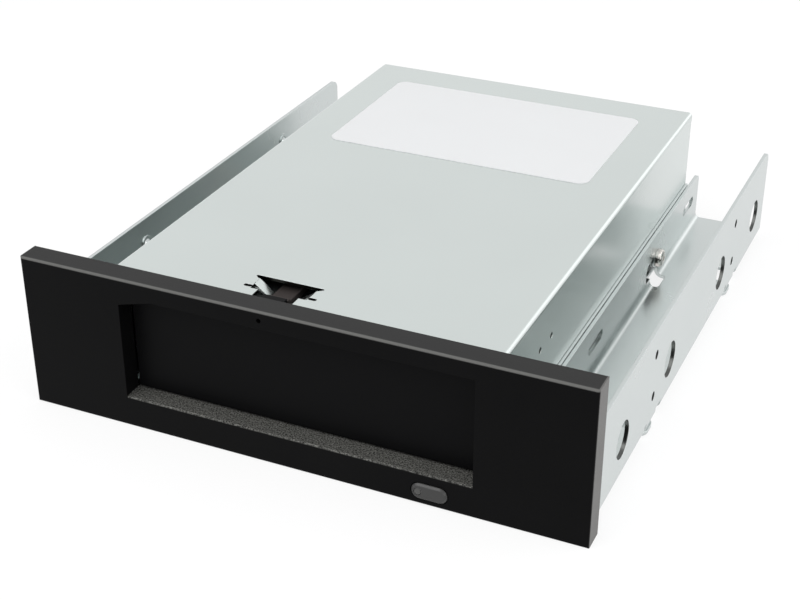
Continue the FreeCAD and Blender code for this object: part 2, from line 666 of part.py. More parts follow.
def snap_windows():
    window = box((PAN_INNER_X - 0.5, PAN_X + 0.5), (SNAP_REACH - 2.5, SNAP_REACH + 0.3),
                 (SNAP_Z[0] + 0.2, SNAP_Z[1] - 0.2))
    return [window, mirrored(window)]


def rear_vents():
    """Rows of slots in the rear wall, beside and above the socket."""
    vents = []
    pitch, first = 8.0, REAR_SOCKET_X[1] + 8.0
    columns = int((PLATE_X - first) / pitch) + 1
    for row in range(4):
        for column in range(columns):
            vents.append(pill((first + pitch * column, 14.0 + 5.0 * row), 6.0, 2.0,
                              PAN_BACK - 2 * SHEET, PAN_BACK + 1))
    return vents


def floor_vents():
    vents = []
    for row in range(2):
        for column in range(7):
            vents.append(pill((-36.0 + 12.0 * column, 70.0 + 12.0 * row), 8.0, 2.4,
                              CHASSIS_BOTTOM - 1, PAN_FLOOR + 1, "Z"))
    return vents


def cover_screw_holes(radius):
    return [rod(radius, (x, PAN_BACK - 2, COVER_SCREW_Z), (x, CHASSIS_BACK + 1, COVER_SCREW_Z))
            for x in (-COVER_SCREW_X, COVER_SCREW_X)]


def frame_feet():
    return [(side * (PLATE_X - 2.2), FRAME_Y + FRAME_T + 4.5) for side in (-1, 1)]


def top_cover():
    x, top, back = CHASSIS_X, CHASSIS_TOP, CHASSIS_BACK
    cover = box((-x, x), (CHASSIS_FRONT, back), (COVER_SIDE_BOTTOM, top))
    for side in (-x, x):
        cover = rounded(cover, COVER_EDGE_R, x=side, z=top)
    cover = cover.makeFillet(COVER_BACK_R, edges_at(cover, y=back, z=top))
    hollow = box((-x + SHEET, x - SHEET), (CHASSIS_FRONT - 5, back - SHEET),
                 (COVER_SIDE_BOTTOM - 5, top - SHEET))
    for side in (-x + SHEET, x - SHEET):
        hollow = rounded(hollow, COVER_EDGE_R - SHEET, x=side, z=top - SHEET)
    tail = box((-x + SHEET, x - SHEET), (back - SHEET - 1, back + 1),
               (COVER_SIDE_BOTTOM - 5, top - COVER_TAIL_H))
    corners = [box((side * x - 1.3, side * x + 1.3), (back - 1.0, back + 1),
                   (COVER_SIDE_BOTTOM - 5, top - 2.5)) for side in (-1, 1)]
    cover = cover.cut([hollow, tail] + corners)
    cover = cover.cut([cover_cut_out()] + cover_side_holes() + cover_screw_holes(1.3))
    return cover.fuse(cover_lips()).removeSplitter()


def cover_cut_out():
    """Funnel-shaped cut-out over the release slide, with a relief hole on each side."""
    half = [(CUT_FRONT_HALF, CHASSIS_FRONT - 1), (CUT_FRONT_HALF, CUT_SHOULDER),
            (CUT_SHOULDER_HALF, CUT_SHOULDER), (CUT_NECK_HALF, LIP_BACK - 0.4),
            (CUT_NECK_HALF + 0.6, LIP_BACK + 0.2), (CUT_BACK_HALF, CUT_BACK - 0.4),
            (CUT_BACK_HALF - 0.4, CUT_BACK)]
    right = [(RELEASE_X + a, y) for a, y in half]
    left = [(RELEASE_X - a, y) for a, y in reversed(half)]
    low, high = CHASSIS_TOP - SHEET - 0.5, CHASSIS_TOP + 1
    opening = prism(right + left, low, high)
    reliefs = [pill((RELEASE_X + side * (CUT_SHOULDER_HALF + 1.1), RELIEF_Y), 2.2, 2 * RELIEF_R,
                    low, high, "Z") for side in (-1, 1)]
    return opening.fuse(reliefs)


def cover_lips():
    """Two lips bent down from the cut-out's sides, which guide the release slide."""
    top, run, drop = CHASSIS_TOP, CUT_NECK_HALF - LIP_END_HALF, CHASSIS_TOP - LIP_END_Z
    length = math.hypot(run, drop)
    across = (drop / length * SHEET, run / length * SHEET)
    outline = [(CUT_NECK_HALF + 0.3, top), (CUT_NECK_HALF - 0.3, top - 0.15),
               (LIP_END_HALF, LIP_END_Z),
               (LIP_END_HALF + across[0], LIP_END_Z - across[1]),
               (CUT_NECK_HALF + 0.2, top - SHEET)]
    lips = []
    for side in (-1, 1):
        points = [(RELEASE_X + side * a, z) for a, z in outline]
        lips.append(prism(points, LIP_FRONT, LIP_BACK, "Y"))
    return lips


def cover_side_holes():
    holes = []
    for y in COVER_HOLES_Y:
        hole = rod(COVER_HOLE_R, (CHASSIS_X - SHEET - 0.5, y, COVER_HOLES_Z),
                   (CHASSIS_X + 1, y, COVER_HOLES_Z))
        holes += [hole, mirrored(hole)]
    return holes


def top_label():
    x, y, z = LABEL_X, LABEL_Y, (CHASSIS_TOP, CHASSIS_TOP + LABEL_T)
    label = box(x, y, z)
    for corner_x in x:
        for corner_y in y:
            label = label.makeFillet(LABEL_R, edges_at(label, x=corner_x, y=corner_y))
    return label


def bracket():
    """Right adapter bracket: a U channel with a low inner flange and a tall outer flange."""
    s, low = BRACKET_SHEET, BRACKET_BOTTOM
    inner, outer, back = BRACKET_INNER_FACE, BRACKET_X, BRACKET_BACK
    start = BEZEL_T + FIT
    body = box((inner, outer), (start, back), (low, BRACKET_OUTER_TOP))
    body = body.cut(box((inner - 1, outer - s), (start - 1, back + 1),
                        (BRACKET_INNER_TOP, BRACKET_OUTER_TOP + 1)))
    body = rounded(body, BRACKET_BEND_R + s, x=inner, z=low)
    body = rounded(body, s + 0.4, x=outer, z=low)
    channel = box((inner + s, outer - s), (start - 1, back + 1), (low + s, BRACKET_OUTER_TOP + 1))
    channel = rounded(channel, BRACKET_BEND_R, x=inner + s, z=low + s)
    channel = rounded(channel, 0.4, x=outer - s, z=low + s)
    body = body.cut(channel)
    corner = [e for e in edges_at(body, y=back, z=BRACKET_OUTER_TOP) if e.Length < 2 * s]
    body = body.makeFillet(BRACKET_OUTER_CORNER_R, corner)
    corner = [e for e in edges_at(body, y=back, z=BRACKET_INNER_TOP) if e.Length < 2 * s]
    body = body.makeFillet(BRACKET_INNER_CORNER_R, corner)
    for y in (MOUNT_FRONT_Y, MOUNT_FRONT_Y + MOUNT_PITCH_Y):
        body = bottom_pad(body, y)
        for z in (MOUNT_LOW_Z, MOUNT_LOW_Z + MOUNT_PITCH_Z):
            body = body.fuse(rod(MOUNT_COLLAR_R, (outer - s - MOUNT_COLLAR_L, y, z),
                                 (outer - s, y, z)))
            body = body.cut(rod(MOUNT_HOLE_R, (outer - 3, y, z), (outer + 1, y, z)))
    holes = [rod(ROUND_HOLE_R, (outer - s - 1, y, ROUND_HOLE_Z), (outer + 1, y, ROUND_HOLE_Z))
             for y in ROUND_HOLES_Y + (back - LAST_ROUND_HOLE_GAP,)]
    back_slot = tuple(back - gap for gap in BACK_SLOT_GAP)
    holes += [pill(((y0 + y1) / 2, SLOT_Z), y1 - y0, 2 * SLOT_R, inner - 1, inner + s + 1, "X")
              for y0, y1 in (FRONT_SLOT_Y, back_slot)]
    holes += [rod(BRACKET_SCREW_HOLE_R, (inner - 1, y, BRACKET_SCREW_Z),
                  (inner + s + 1, y, BRACKET_SCREW_Z)) for y in BRACKET_SCREWS_Y]
    holes += [screw_window(y) for y in BRACKET_SCREWS_Y]
    return body.cut(holes).removeSplitter()


def bottom_pad(body, y):
    """Pad pressed down from the channel's floor to the bay's floor, with a tapped hole."""
    s, low, outer = BRACKET_SHEET, BRACKET_BOTTOM, BRACKET_X
    front, back = y - PAD_L / 2, y + PAD_L / 2
    notches = [box((PAD_INNER_X, outer + 1), (front - NOTCH_L / 2, front), (low - 1, NOTCH_TOP)),
               box((PAD_INNER_X, outer + 1), (back, back + NOTCH_L), (low - 1, NOTCH_TOP)),
               box((PAD_INNER_X + s, outer - s), (front - 1, back + 1), (low - 1, low + s + 0.5))]
    body = body.cut(notches)
    pad = box((PAD_INNER_X, outer - 0.2), (front, back), (PAD_Z, PAD_Z + s))
    for corner_y in (front, back):
        pad = pad.makeFillet(PAD_CORNER_R, edges_at(pad, x=outer - 0.2, y=corner_y))
    riser = box((PAD_INNER_X, PAD_INNER_X + s), (front, back), (PAD_Z, low + s))
    hole_x = outer - BOTTOM_HOLE_INSET
    hole = rod(MOUNT_HOLE_R, (hole_x, y, PAD_Z - 1), (hole_x, y, PAD_Z + s + 1))
    return body.fuse([pad, riser]).cut(hole)


def screw_window(y):
    """Arched window round a bracket screw. A tongue that hangs into it carries the screw."""
    inner, s = BRACKET_INNER_FACE, BRACKET_SHEET
    arch = arch_outline(y, (inner - 1, inner + s + 0.4))
    tongue = box((inner - 1, inner + s + 1), (y - TONGUE_HALF, y + TONGUE_HALF),
                 (BRACKET_SCREW_Z, ARCH_TOP + 1))
    tongue = tongue.fuse(rod(TONGUE_HALF, (inner - 1, y, BRACKET_SCREW_Z),
                             (inner + s + 1, y, BRACKET_SCREW_Z)))
    end, limits = inner + s + FLOOR_WINDOW_W, (y + FLOOR_WINDOW_Y[0], y + FLOOR_WINDOW_Y[1])
    through = box((inner - 1, end), limits, (BRACKET_BOTTOM - 1, ARCH_BOTTOM + 0.1))
    for corner_y in limits:
        through = through.makeFillet(FLOOR_WINDOW_R, edges_at(through, x=end, y=corner_y))
    return arch.cut(tongue).fuse(through)


def bracket_screws():
    screws = []
    for side in (-1, 1):
        for y in BRACKET_SCREWS_Y:
            at = (side * (BRACKET_INNER_FACE + BRACKET_SHEET), y, BRACKET_SCREW_Z)
            screws.append(pan_screw(at, (-side, 0, 0), MOUNT_HOLE_R - 0.03, 2.9, 2.6, 2.0))
    return Part.makeCompound(screws)


def cover_screws():
    return Part.makeCompound([pan_screw((x, CHASSIS_BACK, COVER_SCREW_Z), (0, -1, 0), 0.97, 3.0,
                                        2.2, 1.3) for x in (-COVER_SCREW_X, COVER_SCREW_X)])


def slot_floor():
    """Sheet on which the cartridge slides, standing on two folded legs over the main board."""
    low, top = FLOOR_TOP - PLATE_T, FLOOR_TOP
    plate = box((-PLATE_X, PLATE_X), (PLATE_FRONT, PLATE_BACK), (low, top))
    for side in (-PLATE_X, PLATE_X - PLATE_T):
        plate = plate.fuse(box((side, side + PLATE_T), (PLATE_FRONT, PLATE_BACK),
                               (PAN_FLOOR, top)))
    for y in (34.0, 74.0):
        plate = plate.cut(box((-PLATE_X - 1, PLATE_X + 1), (y, y + 20.0), (PAN_FLOOR - 1, low - 0.6)))
    ribs = [box((x - 1.0, x + 1.0), (40.0, PLATE_BACK - 8.9), (top, top + 0.25))
            for x in (-24.0, 24.0)]
    return plate.fuse(ribs).removeSplitter()


def slot_ceiling():
    """Sheet over the slot. It carries the release slide's guides and the latch lever's pivot."""
    low, top, front = CEILING_BOTTOM, CEILING_TOP, HINGE_Y + EAR_R + 0.3
    plate = box((-PLATE_X, PLATE_X), (front, PLATE_BACK), (low, top))
    flange_top = CHASSIS_TOP - SHEET - FIT
    for side in (-PLATE_X, PLATE_X - PLATE_T):
        plate = plate.fuse(box((side, side + PLATE_T), (front, PLATE_BACK), (low, flange_top)))
    plate = plate.fuse(slide_guides() + [spring_tab(), latch_spring_tab()])
    window = box((LEVER_X - 2.2 - TOOTH_THROW, LEVER_X + 2.7), (TOOTH_Y - 2.3, TOOTH_Y + 2.4),
                 (low - 1, top + 0.1))
    pivot = rod(PIVOT_R, (LEVER_X, LEVER_Y, low - 1), (LEVER_X, LEVER_Y, top + 1))
    openings = [pill((x, 50.0), 14.0, 6.0, low - 1, top + 0.1, "Z") for x in (-32.0, 32.0)]
    return plate.cut([window, pivot] + openings).removeSplitter()


def slide_guides():
    """Hooks lanced out of the ceiling that reach over the release slide's edges."""
    guides = []
    clear, wall = 0.25, TAB_T
    slide_top = SLIDE_TOP
    for y in GUIDES_Y:
        for side in (-1, 1):
            edge = RELEASE_X + side * (SLIDE_W / 2 + clear)
            leg = sorted((edge, edge + side * wall))
            over = sorted((edge - side * 0.9, edge + side * wall))
            guides.append(box(leg, (y, y + 4.0), (CEILING_BOTTOM, slide_top + clear + 0.5)))
            guides.append(box(over, (y, y + 4.0), (slide_top + clear, slide_top + clear + 0.5)))
    return guides


def spring_tab():
    return box((SLIDE_X[1] + 0.4, SLIDE_X[1] + 4.0), (SPRING_TAB_Y, SPRING_TAB_Y + TAB_T),
               (CEILING_BOTTOM, TAB_TOP))


def latch_spring_tab():
    return box((LEVER_X + LATCH_TAB_REACH, LEVER_X + LATCH_TAB_REACH + TAB_T),
               (LEVER_Y - 8.0, LEVER_Y - 4.0), (CEILING_BOTTOM, TAB_TOP))


def guide_rail():
    """Right guide rail: a channel that is open to the chassis wall and flared at its mouth."""
    low, high = FLOOR_TOP + FIT, CEILING_BOTTOM - FIT
    inner, outer = SLOT_X, PLATE_X - 0.2
    front, back = RAIL_FRONT, PLATE_BACK
    flare = RAIL_FLARE * 0.56
    outline = [(inner + flare, front), (inner, front + RAIL_FLARE), (inner, back),
               (outer, back), (outer, front)]
    rail = prism(outline, low, high)
    hollow = box((inner + RAIL_WALL, outer + 1), (front + RAIL_FLARE + 1.5, back - 1.4),
                 (low + 1.6, high - 1.6))
    front_cut = box((inner + flare + RAIL_WALL, outer + 1), (front - 1, front + RAIL_FLARE + 1.0),
                    (low + 1.6, high - 1.6))
    slot = box((inner - 1, outer), (CARRIAGE_Y - 0.3, CARRIAGE_Y + CARRIAGE_TRAVEL + 5.5),
               RAIL_SLOT)
    rail = rail.cut([hollow, front_cut, slot])
    ribs = [box((inner + RAIL_WALL, outer), (y, y + 1.2), (low, high)) for y in (55.0, 70.0, 85.0)]
    return rail.fuse(ribs).removeSplitter()


def rack_cut(position):
    """Outline of one tooth gap of the rack, whose teeth point to -X."""
    m = RACK_MODULE
    tan20 = math.tan(math.radians(20))
    quarter = math.pi * m / 4 + BACKLASH / 2
    tip_x, root_x = RACK_PITCH_X - 0.95 * m, RACK_PITCH_X + 1.2 * m
    wide = quarter + 0.95 * m * tan20
    narrow = quarter - 1.2 * m * tan20
    return [(tip_x - 0.1, position - wide), (root_x, position - narrow),
            (root_x, position + narrow), (tip_x - 0.1, position + wide)]


def release_slide():
    """Bar from the pinhole to the gear train, with a rack, a lug for the lever and a shoulder."""
    low, top = SLIDE_BOTTOM, SLIDE_TOP
    front = RELEASE_BOSS_BACK + 0.3
    bar = box(SLIDE_X, (front, SLIDE_END), (low, top))
    head = box(SLIDE_X, (front, front + 1.8), (low, top + 0.5))
    m = RACK_MODULE
    half_rack = (RACK_TEETH + 1) * math.pi * m / 2 + SLIDE_TRAVEL
    rack = box((RACK_PITCH_X - 0.95 * m, SLIDE_X[0]),
               (RACK_Y - half_rack, min(RACK_Y + half_rack, SLIDE_END)), (low, top))
    shoulder = box((SLIDE_X[1], SLIDE_X[1] + 3.6), (SHOULDER_Y, SHOULDER_Y + SHOULDER_T),
                   (low, top))
    nose_y = LEVER_Y - LEVER_HALF - 0.3 - NOSE_R
    lug = box((SLIDE_X[1], NOSE_X + 0.6), (nose_y - 2.5, nose_y), (low, top))
    nose = rod(NOSE_R, (NOSE_X, nose_y, low), (NOSE_X, nose_y, top))
    slide = bar.fuse([head, rack, shoulder, lug, nose])
    count = int(half_rack / (math.pi * m)) + 1
    gaps = [prism(rack_cut(RACK_Y + k * math.pi * m), low - 1, top + 1)
            for k in range(-count, count + 1) if RACK_Y + k * math.pi * m < SLIDE_END]
    holes = [rod(1.0, (RELEASE_X, y, low - 1), (RELEASE_X, y, top + 1)) for y in (24.0, 46.0, 110.0)]
    return slide.cut(gaps + holes).removeSplitter()


def release_spring():
    start = SHOULDER_Y + SHOULDER_T + 0.3
    pitch = (SPRING_TAB_Y - start - 0.5) / RELEASE_SPRING_TURNS
    return coil(RELEASE_SPRING_R, 0.35, pitch, RELEASE_SPRING_TURNS,
                (SLIDE_X[1] + 2.2, start, SLIDE_BOTTOM + 1.1), (0, 1, 0))


def latch_lever():
    """Lever with a hub, an arm to the slide's nose and a forward arm with a hook tooth."""
    z = (LEVER_Z, LEVER_Z + LEVER_T)
    x, y = LEVER_X, LEVER_Y
    hub = rod(LEVER_HUB_R, (x, y, z[0]), (x, y, z[1]))
    arm = prism([(x, y - LEVER_HALF), (NOSE_X - 0.6, y - LEVER_HALF), (NOSE_X - 0.6, y - 1.0),
                 (x - 6.0, y + 3.0), (x, y + LEVER_HALF)], *z)
    forward = prism([(x - 3.0, y), (x - 2.0, TOOTH_Y - 1.5), (x + 2.0, TOOTH_Y - 1.5),
                     (x + 3.0, y)], *z)
    ear = prism([(x + 1.0, y - 8.0), (x + 5.5, y - 7.4), (x + 5.5, y - 5.0), (x + 1.0, y - 3.0)],
                *z)
    tooth = prism([(TOOTH_Y - 1.5, z[0] + 0.2), (TOOTH_Y - 1.5, TOOTH_BOTTOM + 2.4),
                   (TOOTH_Y + 0.6, TOOTH_BOTTOM), (TOOTH_Y + 1.5, TOOTH_BOTTOM),
                   (TOOTH_Y + 1.5, z[0] + 0.2)], x - 2.0, x + 2.0, "X")
    lever = hub.fuse([arm, forward, ear, tooth])
    eye = rod(0.5, (x + 4.6, y - 6.2, z[0] - 1), (x + 4.6, y - 6.2, z[1] + 1))
    bore = rod(PIVOT_R + RUNNING_GAP, (x, y, z[0] - 1), (x, y, z[1] + 1))
    return lever.cut([eye, bore]).removeSplitter()


def latch_pivot():
    top = LEVER_Z + LEVER_T + 0.2
    stem = rod(PIVOT_R, (LEVER_X, LEVER_Y, CEILING_BOTTOM), (LEVER_X, LEVER_Y, top))
    return stem.fuse(rod(2.4, (LEVER_X, LEVER_Y, top), (LEVER_X, LEVER_Y, top + 0.7)))


def latch_spring():
    start = LEVER_X + 5.8
    pitch = (LEVER_X + LATCH_TAB_REACH - start - 0.5) / LATCH_SPRING_TURNS
    return coil(RELEASE_SPRING_R, 0.35, pitch, LATCH_SPRING_TURNS,
                (start, LEVER_Y - 6.2, LEVER_Z + 0.8), (1, 0, 0))


def ejector_carriage():
    """Carriage that pushes the cartridge out: a ribbed bar, two feet and two sliding ears."""
    y = (CARRIAGE_Y, CARRIAGE_Y + CARRIAGE_DEPTH)
    reach = SLOT_X - 0.5
    bar = box((-reach, reach), y, CARRIAGE_Z)
    pockets = []
    for k in range(-3, 4):
        middle = 11.5 * k
        pockets.append(box((middle - 4.9, middle + 4.9), (y[0] + 1.2, y[1] + 1),
                           (CARRIAGE_Z[0] + 1.2, CARRIAGE_Z[1] - 1.2)))
    bar = bar.cut(pockets)
    pieces = []
    for side in (-1, 1):
        foot = box((28.0, 40.0), (y[0], y[1] - 0.8), (FLOOR_TOP + 0.8, CARRIAGE_Z[0]))
        foot = foot.cut(box((30.0, 38.0), (y[0] + 1.2, y[1]), (FLOOR_TOP + 3.0, CARRIAGE_Z[0] - 1)))
        foot = foot.makeFillet(0.8, edges_at(foot, y=y[0], z=FLOOR_TOP + 0.8))
        ear = box((reach, EJECT_SPRING_X + EJECT_SPRING_R), (y[0] + 0.4, y[1] - 0.4),
                  (RAIL_SLOT[0] + 0.3, RAIL_SLOT[1] - 0.3))
        pieces += [foot, ear] if side > 0 else [mirrored(foot), mirrored(ear)]
    return bar.fuse(pieces).removeSplitter()


def ejector_springs():
    start = CARRIAGE_Y + CARRIAGE_DEPTH - 0.4 + 0.3
    length = PLATE_BACK - 1.4 - 0.2 - start - 0.4
    springs = []
    for side in (-1, 1):
        springs.append(coil(EJECT_SPRING_R, 0.45, length / EJECT_SPRING_TURNS,
                            EJECT_SPRING_TURNS, (side * EJECT_SPRING_X, start, CARRIAGE_MIDDLE),
                            (0, 1, 0)))
    return Part.makeCompound(springs)


def mechanism_frame():
    """Folded sheet behind the slot, with a shelf that carries the motor and the gear train."""
    y = (FRAME_Y, FRAME_Y + FRAME_T)
    plate = box((-PLATE_X, PLATE_X), y, (FLOOR_TOP + FIT, CEILING_BOTTOM - FIT))
    window_z = (CONNECTOR_Z[0] - 0.4, CONNECTOR_Z[1] + 0.4)
    plate = plate.cut([box((-CONNECTOR_HALF - 0.5, CONNECTOR_HALF + 0.5), (y[0] - 1, y[1] + 1), window_z),
                       pill((32.0, FLOOR_TOP + 13.8), 16.0, 8.0, y[0] - 1, y[1] + 1),
                       pill((-32.0, FLOOR_TOP + 7.8), 16.0, 8.0, y[0] - 1, y[1] + 1)])
    shelf_x = (GEAR_X - 13.0, MOTOR_X + 14.0)
    shelf = box(shelf_x, (y[0], PAN_BACK - 4.0), (SHELF_Z, SHELF_Z + FRAME_T))
    rib = box((shelf_x[0], shelf_x[0] + FRAME_T), (y[0], PAN_BACK - 4.0), (SHELF_Z - 6, SHELF_Z + 1))
    feet = []
    for x, foot_y in frame_feet():
        inner = (x - 1.6, x + 2.0) if x > 0 else (x - 2.0, x + 1.6)
        feet.append(box(inner, (y[0], foot_y + 3.0), (PAN_FLOOR, PAN_FLOOR + FRAME_T)))
        feet.append(box(inner, y, (PAN_FLOOR, FLOOR_TOP + 1)))
    frame = plate.fuse([shelf, rib] + feet)
    holes = [rod(2.1, (MOTOR_X, RACK_Y, SHELF_Z - 1), (MOTOR_X, RACK_Y, SHELF_Z + 2)),
             rod(GEAR_SHAFT_R, (GEAR_X, RACK_Y, SHELF_Z - 1), (GEAR_X, RACK_Y, SHELF_Z + 2))]
    holes += [rod(0.9, (x, RACK_Y, SHELF_Z - 1), (x, RACK_Y, SHELF_Z + 2)) for x in motor_screw_x()]
    holes += [rod(0.9, (x, fy, PAN_FLOOR - 1), (x, fy, PAN_FLOOR + 2)) for x, fy in frame_feet()]
    holes += [rod(0.9, (x, y[0] - 1, z), (x, y[1] + 1, z)) for x, z in backplane_screw_places()]
    return frame.cut(holes).removeSplitter()


def backplane_screw_places():
    return [(side * BACKPLANE_SCREW_X, BACKPLANE_Z[1] - 3.0) for side in (-1, 1)]


def motor_screw_x():
    return (MOTOR_X + 3.9, MOTOR_X - 3.9)


def frame_screws():
    return Part.makeCompound([pan_screw((x, y, PAN_FLOOR + FRAME_T), (0, 0, -1), 0.87, 1.7,
                                        1.55, 1.0, False) for x, y in frame_feet()])


def eject_motor():
    """Small motor that hangs under the shelf, with two flats and two solder pins."""
    x, y, top = MOTOR_X, RACK_Y, SHELF_Z
    can = rod(MOTOR_R, (x, y, MOTOR_BOTTOM + 1.2), (x, y, top))
    can = can.common(box((x - MOTOR_R, x + MOTOR_R), (y - MOTOR_FLAT, y + MOTOR_FLAT), (0, top)))
    cap = rod(MOTOR_R - 0.5, (x, y, MOTOR_BOTTOM), (x, y, MOTOR_BOTTOM + 1.2))
    cap = cap.common(box((x - MOTOR_R, x + MOTOR_R), (y - MOTOR_FLAT, y + MOTOR_FLAT), (0, top)))
    boss = rod(2.05, (x, y, top), (x, y, top + 0.9))
    pins = [box((x + s * 3.0 - 0.4, x + s * 3.0 + 0.4), (y - 0.2, y + 0.2),
                (BOARD_TOP, MOTOR_BOTTOM)) for s in (-1, 1)]
    bore = rod(MOTOR_SHAFT_R + RUNNING_GAP, (x, y, top - 4), (x, y, top + 2))
    holes = [rod(0.9, (sx, y, top - 2.0), (sx, y, top + 1)) for sx in motor_screw_x()]
    return can.fuse([cap, boss] + pins).cut([bore] + holes).removeSplitter()


def motor_screws():
    return Part.makeCompound([pan_screw((x, RACK_Y, SHELF_Z + FRAME_T), (0, 0, -1), 0.87, 2.4,
                                        1.35, 0.7, False) for x in motor_screw_x()])


def motor_shaft():
    return rod(MOTOR_SHAFT_R, (MOTOR_X, RACK_Y, SHELF_Z - 3.8),
               (MOTOR_X, RACK_Y, WHEEL_BOTTOM + WHEEL_T + 0.8))


def motor_pinion():
    outline = gear_outline(MOTOR_TEETH, GEAR_MODULE, (MOTOR_X, RACK_Y),
                           math.pi + math.pi / MOTOR_TEETH)
    pinion = prism(outline, WHEEL_BOTTOM - 0.2, WHEEL_BOTTOM + WHEEL_T + 0.3)
    return pinion.cut(rod(MOTOR_SHAFT_R, (MOTOR_X, RACK_Y, 0), (MOTOR_X, RACK_Y, 50)))


def reduction_gear():
    """Moulded wheel with a tall hub and the small pinion that meshes with the slide's rack."""
    middle = (GEAR_X, RACK_Y)
    wheel_top = WHEEL_BOTTOM + WHEEL_T
    wheel = prism(gear_outline(WHEEL_TEETH, GEAR_MODULE, middle, 0.0), WHEEL_BOTTOM, wheel_top)
    pockets = []
    for k in range(5):
        angle = 2 * math.pi * (k + 0.5) / 5
        x, y = middle[0] + 5.0 * math.cos(angle), middle[1] + 5.0 * math.sin(angle)
        pockets.append(rod(1.3, (x, y, WHEEL_BOTTOM - 1), (x, y, wheel_top + 1)))
    collar = rod(2.4, (*middle, SHELF_Z + FRAME_T + 0.2), (*middle, WHEEL_BOTTOM))
    hub = rod(2.7, (*middle, wheel_top), (*middle, SLIDE_BOTTOM - 0.3))
    pinion = prism(gear_outline(RACK_PINION_TEETH, RACK_MODULE, middle, 0.0),
                   SLIDE_BOTTOM - 0.3, SLIDE_TOP)
    gear = wheel.cut(pockets).fuse([collar, hub, pinion])
    return gear.cut(rod(GEAR_SHAFT_R + RUNNING_GAP, (*middle, 0), (*middle, 50))).removeSplitter()


def gear_shaft():
    middle, top = (GEAR_X, RACK_Y), SLIDE_TOP + 0.25
    shaft = rod(GEAR_SHAFT_R, (*middle, SHELF_Z), (*middle, top + 0.6))
    rivet = rod(1.8, (*middle, SHELF_Z - 0.6), (*middle, SHELF_Z))
    return shaft.fuse([rivet, rod(1.8, (*middle, top), (*middle, top + 0.4))])


def cartridge_connector():
    """Connector that mates with the cartridge: a housing with a tongue in its open front."""
    front, z = FRAME_Y - CONNECTOR_FRONT, CONNECTOR_Z
    half, middle = CONNECTOR_HALF, (z[0] + z[1]) / 2
    body = box((-half, half), (front, BACKPLANE_Y), z)
    body = body.makeChamfer(0.6, edges_at(body, y=front))
    mouth = box((1.2 - half, half - 1.2), (front - 1, front + 5.5), (z[0] + 1.0, z[1] - 1.0))
    tongue = box((2.6 - half, half - 2.6), (front + 0.8, front + 5.6), (middle - 0.6, middle + 0.6))
    return body.cut(mouth).fuse(tongue).removeSplitter()


def cartridge_contacts():
    pitch, wide, first = 1.27, 0.6, 3.4 - CONNECTOR_HALF
    y = (FRAME_Y - CONNECTOR_FRONT + 1.3, FRAME_Y - 1.0)
    low = (CONNECTOR_Z[0] + CONNECTOR_Z[1]) / 2 + 0.6
    count = int((CONNECTOR_HALF - 2.8 - first) / pitch) + 1
    strips = [box((first + pitch * k, first + wide + pitch * k), y, (low, low + 0.15))
              for k in range(count)]
    return Part.makeCompound(strips)


def backplane_board():
    y = (BACKPLANE_Y, BACKPLANE_Y + BOARD_T)
    board = box((-BACKPLANE_SCREW_X - 4, BACKPLANE_SCREW_X + 4), y, BACKPLANE_Z)
    return board.cut([rod(0.9, (x, y[0] - 1, z), (x, y[1] + 1, z))
                      for x, z in backplane_screw_places()])


def backplane_screws():
    y = BACKPLANE_Y + BOARD_T
    return Part.makeCompound([pan_screw((x, y, z), (0, -1, 0), 0.87, 2.6, 1.8, 1.0, False)
                              for x, z in backplane_screw_places()])


def link_header():
    y = BACKPLANE_Y + BOARD_T
    return box((-14.0, 14.0), (y, y + 1.9), (BOARD_TOP, BOARD_TOP + 4.6))


def main_board():
    board = box((-BOARD_X, BOARD_X), (BOARD_FRONT, BOARD_BACK), (BOARD_Z, BOARD_TOP))
    return board.cut([rod(1.15, (x, y, BOARD_Z - 1), (x, y, BOARD_TOP + 1))
                      for x, y in BOARD_HOLES])


def board_screws():
    return Part.makeCompound([pan_screw((x, y, BOARD_TOP), (0, 0, -1), 1.02, 2.6, 2.2, 0.9, False)
                              for x, y in BOARD_HOLES])


def controller_chip():
    chip = box((-7.0, 7.0), (60.0, 74.0), (BOARD_TOP, BOARD_TOP + 0.9))
    return chip.makeChamfer(0.2, edges_at(chip, z=BOARD_TOP + 0.9))


def board_chips():
    """Flat chips in the middle of the board, and power parts near its back edge."""
    top, back = BOARD_TOP, BOARD_BACK
    spots = (((14.0, 22.0), (62.0, 68.0), 0.9), ((14.0, 19.0), (52.0, 56.0), 0.9),
             ((-24.0, -16.0), (58.0, 66.0), 0.9), ((-22.0, -18.0), (72.0, 74.5), 0.8),
             ((30.0, 38.0), (back - 20, back - 12), 3.6), ((16.0, 21.0), (back - 14, back - 8), 1.6),
             ((-34.0, -26.0), (back - 16, back - 11), 1.6))
    return Part.makeCompound([box(x, y, (top, top + height)) for x, y, height in spots])


def capacitors():
    """Round capacitors on square bases, in a row along the board's back edge."""
    cans = []
    base_half, base_t, can_r, tall = 3.2, 0.6, 3.1, 7.0
    y = BOARD_BACK - 4.0
    for x in (14.5, 25.0, 34.0):
        can = turned([(0, 0), (can_r, 0), (can_r, tall - base_t - 0.5), (can_r - 0.4, tall - base_t),
                      (0, tall - base_t)])
        can.translate(Vector(x, y, BOARD_TOP + base_t))
        base = box((x - base_half, x + base_half), (y - base_half, y + base_half),
                   (BOARD_TOP, BOARD_TOP + base_t))
        cans.append(can.fuse(base))
    return Part.makeCompound(cans)


def sata_tongues():
    """Limits in X of the power tongue and the data tongue of the rear socket."""
    left, right = REAR_SOCKET_X
    return (left + 2.2, left + 21.6), (right - 14.0, right - 3.6)


